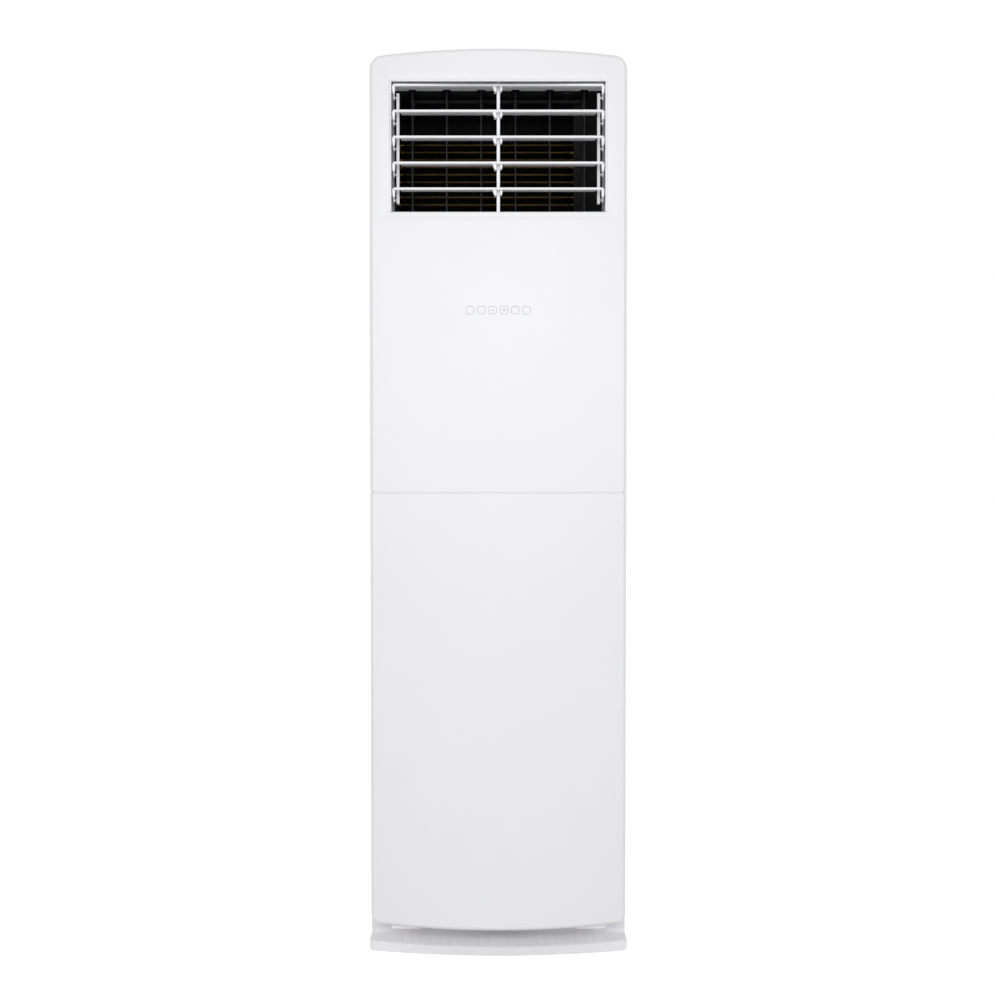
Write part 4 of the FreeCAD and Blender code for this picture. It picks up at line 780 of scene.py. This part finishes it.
def woven_net(name):
    """Dark polypropylene net. Crossed threads a millimetre and a half apart, with open cells between."""
    thread_pitch = 1.5 * mm
    thread_height = 0.4 * mm
    wave_scale = 0.314 / thread_pitch / 2
    material, tree, shader, place = start_material(name, IOR=1.49, Roughness=0.6)
    waves = [add_node(tree, "ShaderNodeTexWave", {"bands_direction": way, "Scale": wave_scale},
                      {"Vector": place}) for way in ("Y", "Z")]
    cross = add_node(tree, "ShaderNodeMath", {"operation": "MAXIMUM"},
                     {0: waves[0].outputs["Fac"], 1: waves[1].outputs["Fac"]})
    tone = add_node(tree, "ShaderNodeMix", {"data_type": "RGBA", 6: linear("#1B1D20"), 7: linear("#5B6066")},
                    {"Factor": cross.outputs[0]})
    bump = add_node(tree, "ShaderNodeBump", {"Strength": 0.5, "Distance": thread_height},
                    {"Height": cross.outputs[0]})
    wire(tree, shader, {"Base Color": tone.outputs[2], "Normal": bump.outputs["Normal"]})
    return material


finish_nodes(woven_net("polypropylene filter net, woven"), "air_filter_left", "air_filter_right")

# Upper front panel. One deep white ABS moulding with a bowed face and a slanted rim. The outlet window has
# a hood above, a short reveal and a shallow groove below its sill, and a tongue along the bottom closes
# the seam to the lower panel.
panel_low, panel_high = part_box("upper_front_panel")
panel_half = panel_high.x
ink_room = 0.06 * mm
panel_front_y = panel_low.y + ink_room
panel_back_y = panel_high.y
panel_wall = 3 * mm
panel_edge = 0.5 * mm
edge_round = 10 * mm
bow = edge_y - panel_front_y
bow_radius = (panel_half ** 2 + bow ** 2) / (2 * bow)
bow_middle_y = panel_front_y + bow_radius
top_corner = 24 * mm
window_half = 210 * mm
window_low_z = 1445.5 * mm
window_high_z = 1699.5 * mm
window_bevel = 2 * mm
sill_slope = 0.27
head_slope = 0.39
head_drop = 2.4 * mm
head_band = 11 * mm
head_inset = 4.4 * mm
rim_steps = 6
groove_height = 14 * mm
groove_depth = 1.6 * mm
groove_steps = 7
face_pitch = 9 * mm
edge_margin = 2 * mm
rim_width = 7 * mm
rim_depth = 6 * mm
rim_crease = 0.3 * mm
rim_round = 2.2 * mm
round_steps = 4
tongue_inset = 1.3 * mm
tongue_drop = 1.7 * mm
tongue_depth = 5 * mm
tongue_lap = 0.5 * mm
hair = 0.001 * mm
sliver_area = 0.0001 * mm * mm
panel_abs = moulded_plastic("ABS front panel, fine matt mould", "#F3F3F5", "#F0F0F2",
                            roughness=0.40, grain=1.4 * mm, relief=0.06)


def face_y(x, inset=0):
    """Depth of the bowed face at a distance from the middle, an inset behind it."""
    return bow_middle_y - math.sqrt((bow_radius - inset) ** 2 - x ** 2)


def sill_fall(x):
    """How far the window's sill falls to the front, over the depth that the bow gives it."""
    return sill_slope * (face_y(window_half) - face_y(x))


def head_edge_z(x):
    """Lower edge of the hood over the window, which comes down to the front as the bow deepens the reveal."""
    return window_high_z - head_drop - head_slope * (face_y(window_half) - face_y(x))


def groove_sink(share):
    """Depth of the groove under the sill at a share of its height: steep above and fading out below."""
    deepest = 1 / 3
    return groove_depth * share * (1 - share) ** 2 / (deepest * (1 - deepest) ** 2)


def rim_section(middle, face_way, wall_way):
    """Section through a panel's edge: the face, a flat rim that slants back, and a round into the side."""
    lean = face_way.dot(wall_way)
    along_face = (wall_way - lean * face_way).normalized()
    along_wall = (lean * wall_way - face_way).normalized()
    corner = middle + edge_round * (face_way + math.tan(face_way.angle(wall_way) / 2) * along_face)
    crease = corner - rim_width * along_face
    turn = corner + rim_depth * along_wall
    slant = (turn - crease).normalized()
    first, last = turn - rim_round * slant, turn + rim_round * along_wall
    points = [middle + edge_round * face_way, crease - rim_crease * along_face, crease + rim_crease * slant]
    for place in range(round_steps + 1):
        share = place / round_steps
        points.append(first * (1 - share) ** 2 + turn * 2 * share * (1 - share) + last * share ** 2)
    return points + [Vector((last.x, panel_back_y, last.z))]


def panel_sheet(seam_z, far_z, corner, window_rows, window_half_x):
    """The outer skin of a front panel, from its seam to its rounded end, with a gap for a window."""
    way = 1 if far_z > seam_z else -1
    length = abs(far_z - seam_z)
    spread = bow_radius / (bow_radius - edge_round)
    columns = []
    for place in range(corner_steps + 1):
        angle = math.pi / 2 * place / corner_steps
        small = corner - edge_round
        columns.append((panel_half - corner + small * math.cos(angle),
                        length - corner + small * math.sin(angle), math.cos(angle), math.sin(angle)))
    straight = (panel_half - corner) * spread
    marks = [0.0] + [face_pitch * place for place in range(1, int(straight / face_pitch))]
    marks = [mark for mark in marks if abs(mark - window_half_x) > face_pitch / 2]
    marks += [window_half_x] if window_rows else []
    columns += [(mark / spread, length - edge_round, 0.0, 1.0) for mark in sorted(marks, reverse=True)]
    columns = [(-x, w, -nx, nw) for x, w, nx, nw in columns] + columns[-2::-1]
    openings = [abs(z - seam_z) for z in window_rows]
    rows = [0.0, edge_margin]
    grooves = []
    if window_rows:
        grooves = [openings[0] - groove_height * (1 - place / groove_steps) for place in range(groove_steps)]
        rows += [grooves[0] - sill_fall(0) - edge_margin] + grooves + openings + [openings[1] + head_band]
    rows.append(length - top_corner - edge_margin)
    shape = bmesh.new()

    def on_face(column, w):
        x = column[0] * spread
        y = face_y(x)
        z = seam_z + way * w
        if window_rows and in_window(column) and w in grooves + openings:
            inner_x = x * window_half / window_half_x
            z = head_edge_z(inner_x) + head_band if w == openings[1] else z - sill_fall(inner_x)
            y += groove_sink(max(openings[0] - w, 0) / groove_height)
        return (x, y, z)

    def in_window(column):
        return abs(column[0] * spread) <= window_half_x + hair

    for first, second in zip(columns, columns[1:]):
        levels = list(zip(rows + [first[1]], rows + [second[1]]))
        for low, high in zip(levels, levels[1:]):
            if window_rows and low[0] == openings[0] and in_window(first) and in_window(second):
                continue
            corners = [on_face(first, low[0]), on_face(second, low[1]), on_face(second, high[1]),
                       on_face(first, high[0])]
            shape.faces.new([shape.verts.new(point) for point in corners])
    side_rows = rows + [columns[0][1]]
    path = [(columns[0][0], w, -1.0, 0.0) for w in side_rows[:-1]] + columns
    path += [(columns[-1][0], w, 1.0, 0.0) for w in side_rows[-2::-1]]
    strips = []
    for x, w, nx, nw in path:
        middle = Vector((x, face_y(x, edge_round), seam_z + way * w))
        face_way = Vector((x, middle.y - bow_middle_y, 0)).normalized()
        strips.append(rim_section(middle, face_way, Vector((nx, 0, way * nw))))
    skin(shape, strips)
    seam_edge = strips[0][::-1] + [Vector(on_face(column, 0)) for column in columns[1:-1]] + strips[-1]
    skin(shape, [seam_edge, [Vector((point.x, panel_back_y, point.z)) for point in seam_edge]])
    bmesh.ops.remove_doubles(shape, verts=shape.verts, dist=weld)
    slivers = [face for face in shape.faces if face.calc_area() < sliver_area]
    bmesh.ops.delete(shape, geom=slivers, context="FACES")
    return shape, columns, spread


outer_half = window_half + window_bevel
outer_rows = [window_low_z - window_bevel, window_high_z + window_bevel]
upper_shape, upper_columns, spread = panel_sheet(panel_low.z, panel_high.z, top_corner, outer_rows,
                                                 outer_half)
panel_xs = [column[0] * spread for column in upper_columns]
window_xs = [x for x in panel_xs if abs(x) <= outer_half + hair]
shrink = window_half / outer_half
reveal_y = face_y(window_half) + panel_wall
loops = []
for place in range(rim_steps + 1):
    along = place / rim_steps
    angle = math.pi / 2 * along
    back, out = 1 - math.cos(angle), 1 - math.sin(angle)
    wide = 1 + (1 / shrink - 1) * out
    loop = []
    for x in window_xs:
        inner_x = x * shrink
        loop.append((inner_x * wide, face_y(inner_x * wide) + window_bevel * back,
                     window_low_z - window_bevel * out - sill_fall(inner_x)))
    for x in window_xs[::-1]:
        inner_x = x * shrink
        loop.append((inner_x * wide, face_y(inner_x * wide) + head_inset * along ** 2,
                     head_edge_z(inner_x) + head_band * (1 - along)))
    loops.append(loop)
sill_end = [(x * shrink, reveal_y, window_low_z) for x in window_xs]
head_end = [(x * shrink, reveal_y, window_high_z) for x in window_xs[::-1]]
skin(upper_shape, [closed(loop) for loop in loops + [sill_end + head_end]])
upper_mesh = with_modifiers(upper_shape, rounded_edges(panel_edge, 2), walled(panel_wall, even=False))
upper_shape = bmesh.new()
upper_shape.from_mesh(upper_mesh)
tongue_low = panel_low.z - tongue_drop
tongue_high = panel_low.z + tongue_lap
tongue_back = tongue_inset + tongue_depth
tongue_section = closed([(tongue_inset, tongue_high), (tongue_inset, tongue_low), (tongue_back, tongue_low),
                         (tongue_back, tongue_high)])
skin(upper_shape, [[(x, face_y(x) + inset, z) for inset, z in tongue_section] for x in panel_xs])
new_piece("upper_panel_moulding", upper_shape, panel_abs, "cabinet", "white_panel", "upper_front_panel")

# Touch keys. Six thin grey rings are printed on the upper panel, with a minus and a plus sign in the two
# middle ones. The panel senses a finger through its wall, so nothing stands proud or moves.
key_count = 6
key_pitch = 21.7 * mm
key_size = 15.4 * mm
key_corner = 4.5 * mm
key_line = 1.0 * mm
key_lift = 0.05 * mm
sign_reach = 4.2 * mm
sign_line = 1.1 * mm
minus_place = 2
plus_place = 3
keys_low, keys_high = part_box("touch_key_outlines")
key_middle_z = (keys_low.z + keys_high.z) / 2


def screen_print(name, pale, shade):
    """Screen-printed ink. A flat grey film whose cover varies a little from dot to dot of the screen."""
    dot_size = 0.6 * mm
    material, tree, shader, place = start_material(name, IOR=1.5, Roughness=0.5)
    dots = add_node(tree, "ShaderNodeTexVoronoi", {"Scale": 1 / dot_size}, {"Vector": place})
    tone = add_node(tree, "ShaderNodeMix", {"data_type": "RGBA", 6: linear(pale), 7: linear(shade)},
                    {"Factor": dots.outputs["Distance"]})
    wire(tree, shader, {"Base Color": tone.outputs[2]})
    return material


def printed(shape, loops):
    """A printed line between two outlines, laid on the bowed face."""
    skin(shape, [[(x, face_y(x) - key_lift, z) for x, z in closed(loop)] for loop in loops])


key_shape = bmesh.new()
sign_shape = bmesh.new()
for place in range(key_count):
    key_x = (place - (key_count - 1) / 2) * key_pitch
    half = key_size / 2
    loops = [rounded_loop(key_x - half + inset, key_x + half - inset, key_middle_z - half + inset,
                          key_middle_z + half - inset, key_corner - inset) for inset in (0, key_line)]
    printed(key_shape, loops)
for place, arms in ((minus_place, 1), (plus_place, 2)):
    key_x = (place - (key_count - 1) / 2) * key_pitch
    for arm in range(arms):
        reach_x = sign_line / 2 if arm else sign_reach / 2
        reach_z = sign_reach / 2 if arm else sign_line / 2
        printed(sign_shape, [[(key_x + side * reach_x, key_middle_z + end * reach_z) for end in (-1, 1)]
                             for side in (-1, 1)])
for shape in (key_shape, sign_shape):
    seal(shape)
    for face in shape.faces:
        if face.normal.y > 0:
            face.normal_flip()
key_ink = screen_print("screen-printed ink, pale grey", "#BDBEC3", "#B5B6BC")
new_piece("touch_key_print", key_shape, key_ink, "cabinet", "key_print", "touch_key_outlines")
sign_ink = screen_print("screen-printed ink, mid grey", "#8C8D93", "#84858B")
new_piece("touch_key_signs", sign_shape, sign_ink, "cabinet", "key_print")

# Lower front panel. A plain white ABS moulding, bowed as the upper one. It hangs on pins through pairs of
# lugs along its bottom edge and tilts forward to open the cabinet.
lower_top_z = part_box("lower_front_panel")[1].z
pins_low, pins_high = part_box("lower_panel_hinge_pins")
lower_bottom_z = 53.5 * mm
bottom_corner = 18 * mm
hinge_y = (pins_low.y + pins_high.y) / 2
hinge_z = (pins_low.z + pins_high.z) / 2
lug_radius = 5 * mm
lug_width = 5 * mm
lug_steps = 12
tab_places = (-181 * mm, 0, 181 * mm)
tab_half = 23.5 * mm
tab_gap = 0.4 * mm
lower_shape = panel_sheet(lower_top_z, lower_bottom_z, bottom_corner, [], 0)[0]
lower_mesh = with_modifiers(lower_shape, rounded_edges(panel_edge, 2), walled(panel_wall))
lower_shape = bmesh.new()
lower_shape.from_mesh(lower_mesh)
lug_turns = [math.pi * place / lug_steps for place in range(lug_steps + 1)]
lug_outline = [(hinge_y + lug_radius * math.cos(turn), hinge_z - lug_radius * math.sin(turn))
               for turn in lug_turns]
lug_outline += [(hinge_y + side * lug_radius, lower_bottom_z + panel_wall / 2) for side in (-1, 1)]
for tab_x in tab_places:
    for side in (-1, 1):
        near = tab_x + side * (tab_half + tab_gap)
        prism(lower_shape, lug_outline, *sorted((near, near + side * lug_width)),
              lambda y, z, x: (x, y, z))
new_piece("lower_panel_moulding", lower_shape, panel_abs, "lower_front_panel", "white_panel",
          "lower_front_panel")

# Support tabs. Three white ABS brackets stand out from the plinth's rim. They carry the steel pins that
# the lower panel tilts on.
finish_nodes(plinth_abs, "panel_support_tabs")

# Studio. A pale floor that looks white to the camera and keeps the object's shadow, a white room for
# soft light all round, and one long softbox in front, level with the outlet.
floor_half = 12.0
floor_glow = 0.7
room_light = 0.46
softbox_width = 9.0
softbox_height = 0.9
softbox_power = 64
softbox_place = Vector((0, -2.4, 1.62))
softbox_aim = Vector((0, -0.1, 1.05))


def white_for_the_eye(tree, plain, extra):
    """A shader that adds white where the camera sees it, straight or in a reflection."""
    path = add_node(tree, "ShaderNodeLightPath").outputs
    seen = add_node(tree, "ShaderNodeMath", {"operation": "MAXIMUM"},
                    {0: path["Is Camera Ray"], 1: path["Is Glossy Ray"]})
    through = add_node(tree, "ShaderNodeMath", {"operation": "MAXIMUM"},
                       {0: seen.outputs[0], 1: path["Is Transmission Ray"]})
    strength = add_node(tree, "ShaderNodeMath", {"operation": "MULTIPLY", 1: extra}, {0: through.outputs[0]})
    glow = add_node(tree, "ShaderNodeEmission", None, {"Strength": strength.outputs[0]})
    return add_node(tree, "ShaderNodeAddShader", None, {0: plain, 1: glow.outputs[0]})


floor_mesh = bpy.data.meshes.new("floor")
floor_corners = [(x * floor_half, y * floor_half, 0) for x, y in ((-1, -1), (1, -1), (1, 1), (-1, 1))]
floor_mesh.from_pydata(floor_corners, [], [(0, 1, 2, 3)])
floor_paint = bpy.data.materials.new("matt floor paint, pale")
floor_paint.use_nodes = True
tree = floor_paint.node_tree
tree.nodes.clear()
matt = add_node(tree, "ShaderNodeBsdfDiffuse", {"Color": linear("#F2F2F3")})
surface = white_for_the_eye(tree, matt.outputs[0], floor_glow)
add_node(tree, "ShaderNodeOutputMaterial", None, {"Surface": surface.outputs[0]})
floor_mesh.materials.append(floor_paint)
floor = in_scene("floor", floor_mesh)

world = bpy.data.worlds.new("white room")
bpy.context.scene.world = world
world.use_nodes = True
tree = world.node_tree
tree.nodes.clear()
room = add_node(tree, "ShaderNodeBackground", {"Color": linear("#FFFFFF"), "Strength": room_light})
surface = white_for_the_eye(tree, room.outputs[0], 1 - room_light)
add_node(tree, "ShaderNodeOutputWorld", None, {"Surface": surface.outputs[0]})

lamp_data = bpy.data.lights.new("front softbox", "AREA")
lamp_data.shape = "RECTANGLE"
lamp_data.size = softbox_width
lamp_data.size_y = softbox_height
lamp_data.energy = softbox_power
lamp = in_scene("front softbox", lamp_data)
lamp.location = softbox_place
lamp.rotation_euler = (softbox_aim - softbox_place).to_track_quat("-Z", "Y").to_euler()

# Camera. It stands two metres in front, about level with the seam, and is tipped down by one degree, as
# the best fit to the widths and heights in the photograph.
camera_tip = math.radians(1.0)
camera_data = bpy.data.cameras.new("camera")
camera_data.sensor_width = 36
camera_data.lens = 37.06
camera_data.shift_y = 0.0042
camera = in_scene("camera", camera_data)
camera.location = (-0.0016, -2.1329, 0.9144)
camera.rotation_euler = (math.radians(90) - camera_tip, 0, 0)
bpy.context.scene.camera = camera
bpy.context.scene.view_settings.view_transform = "Standard"
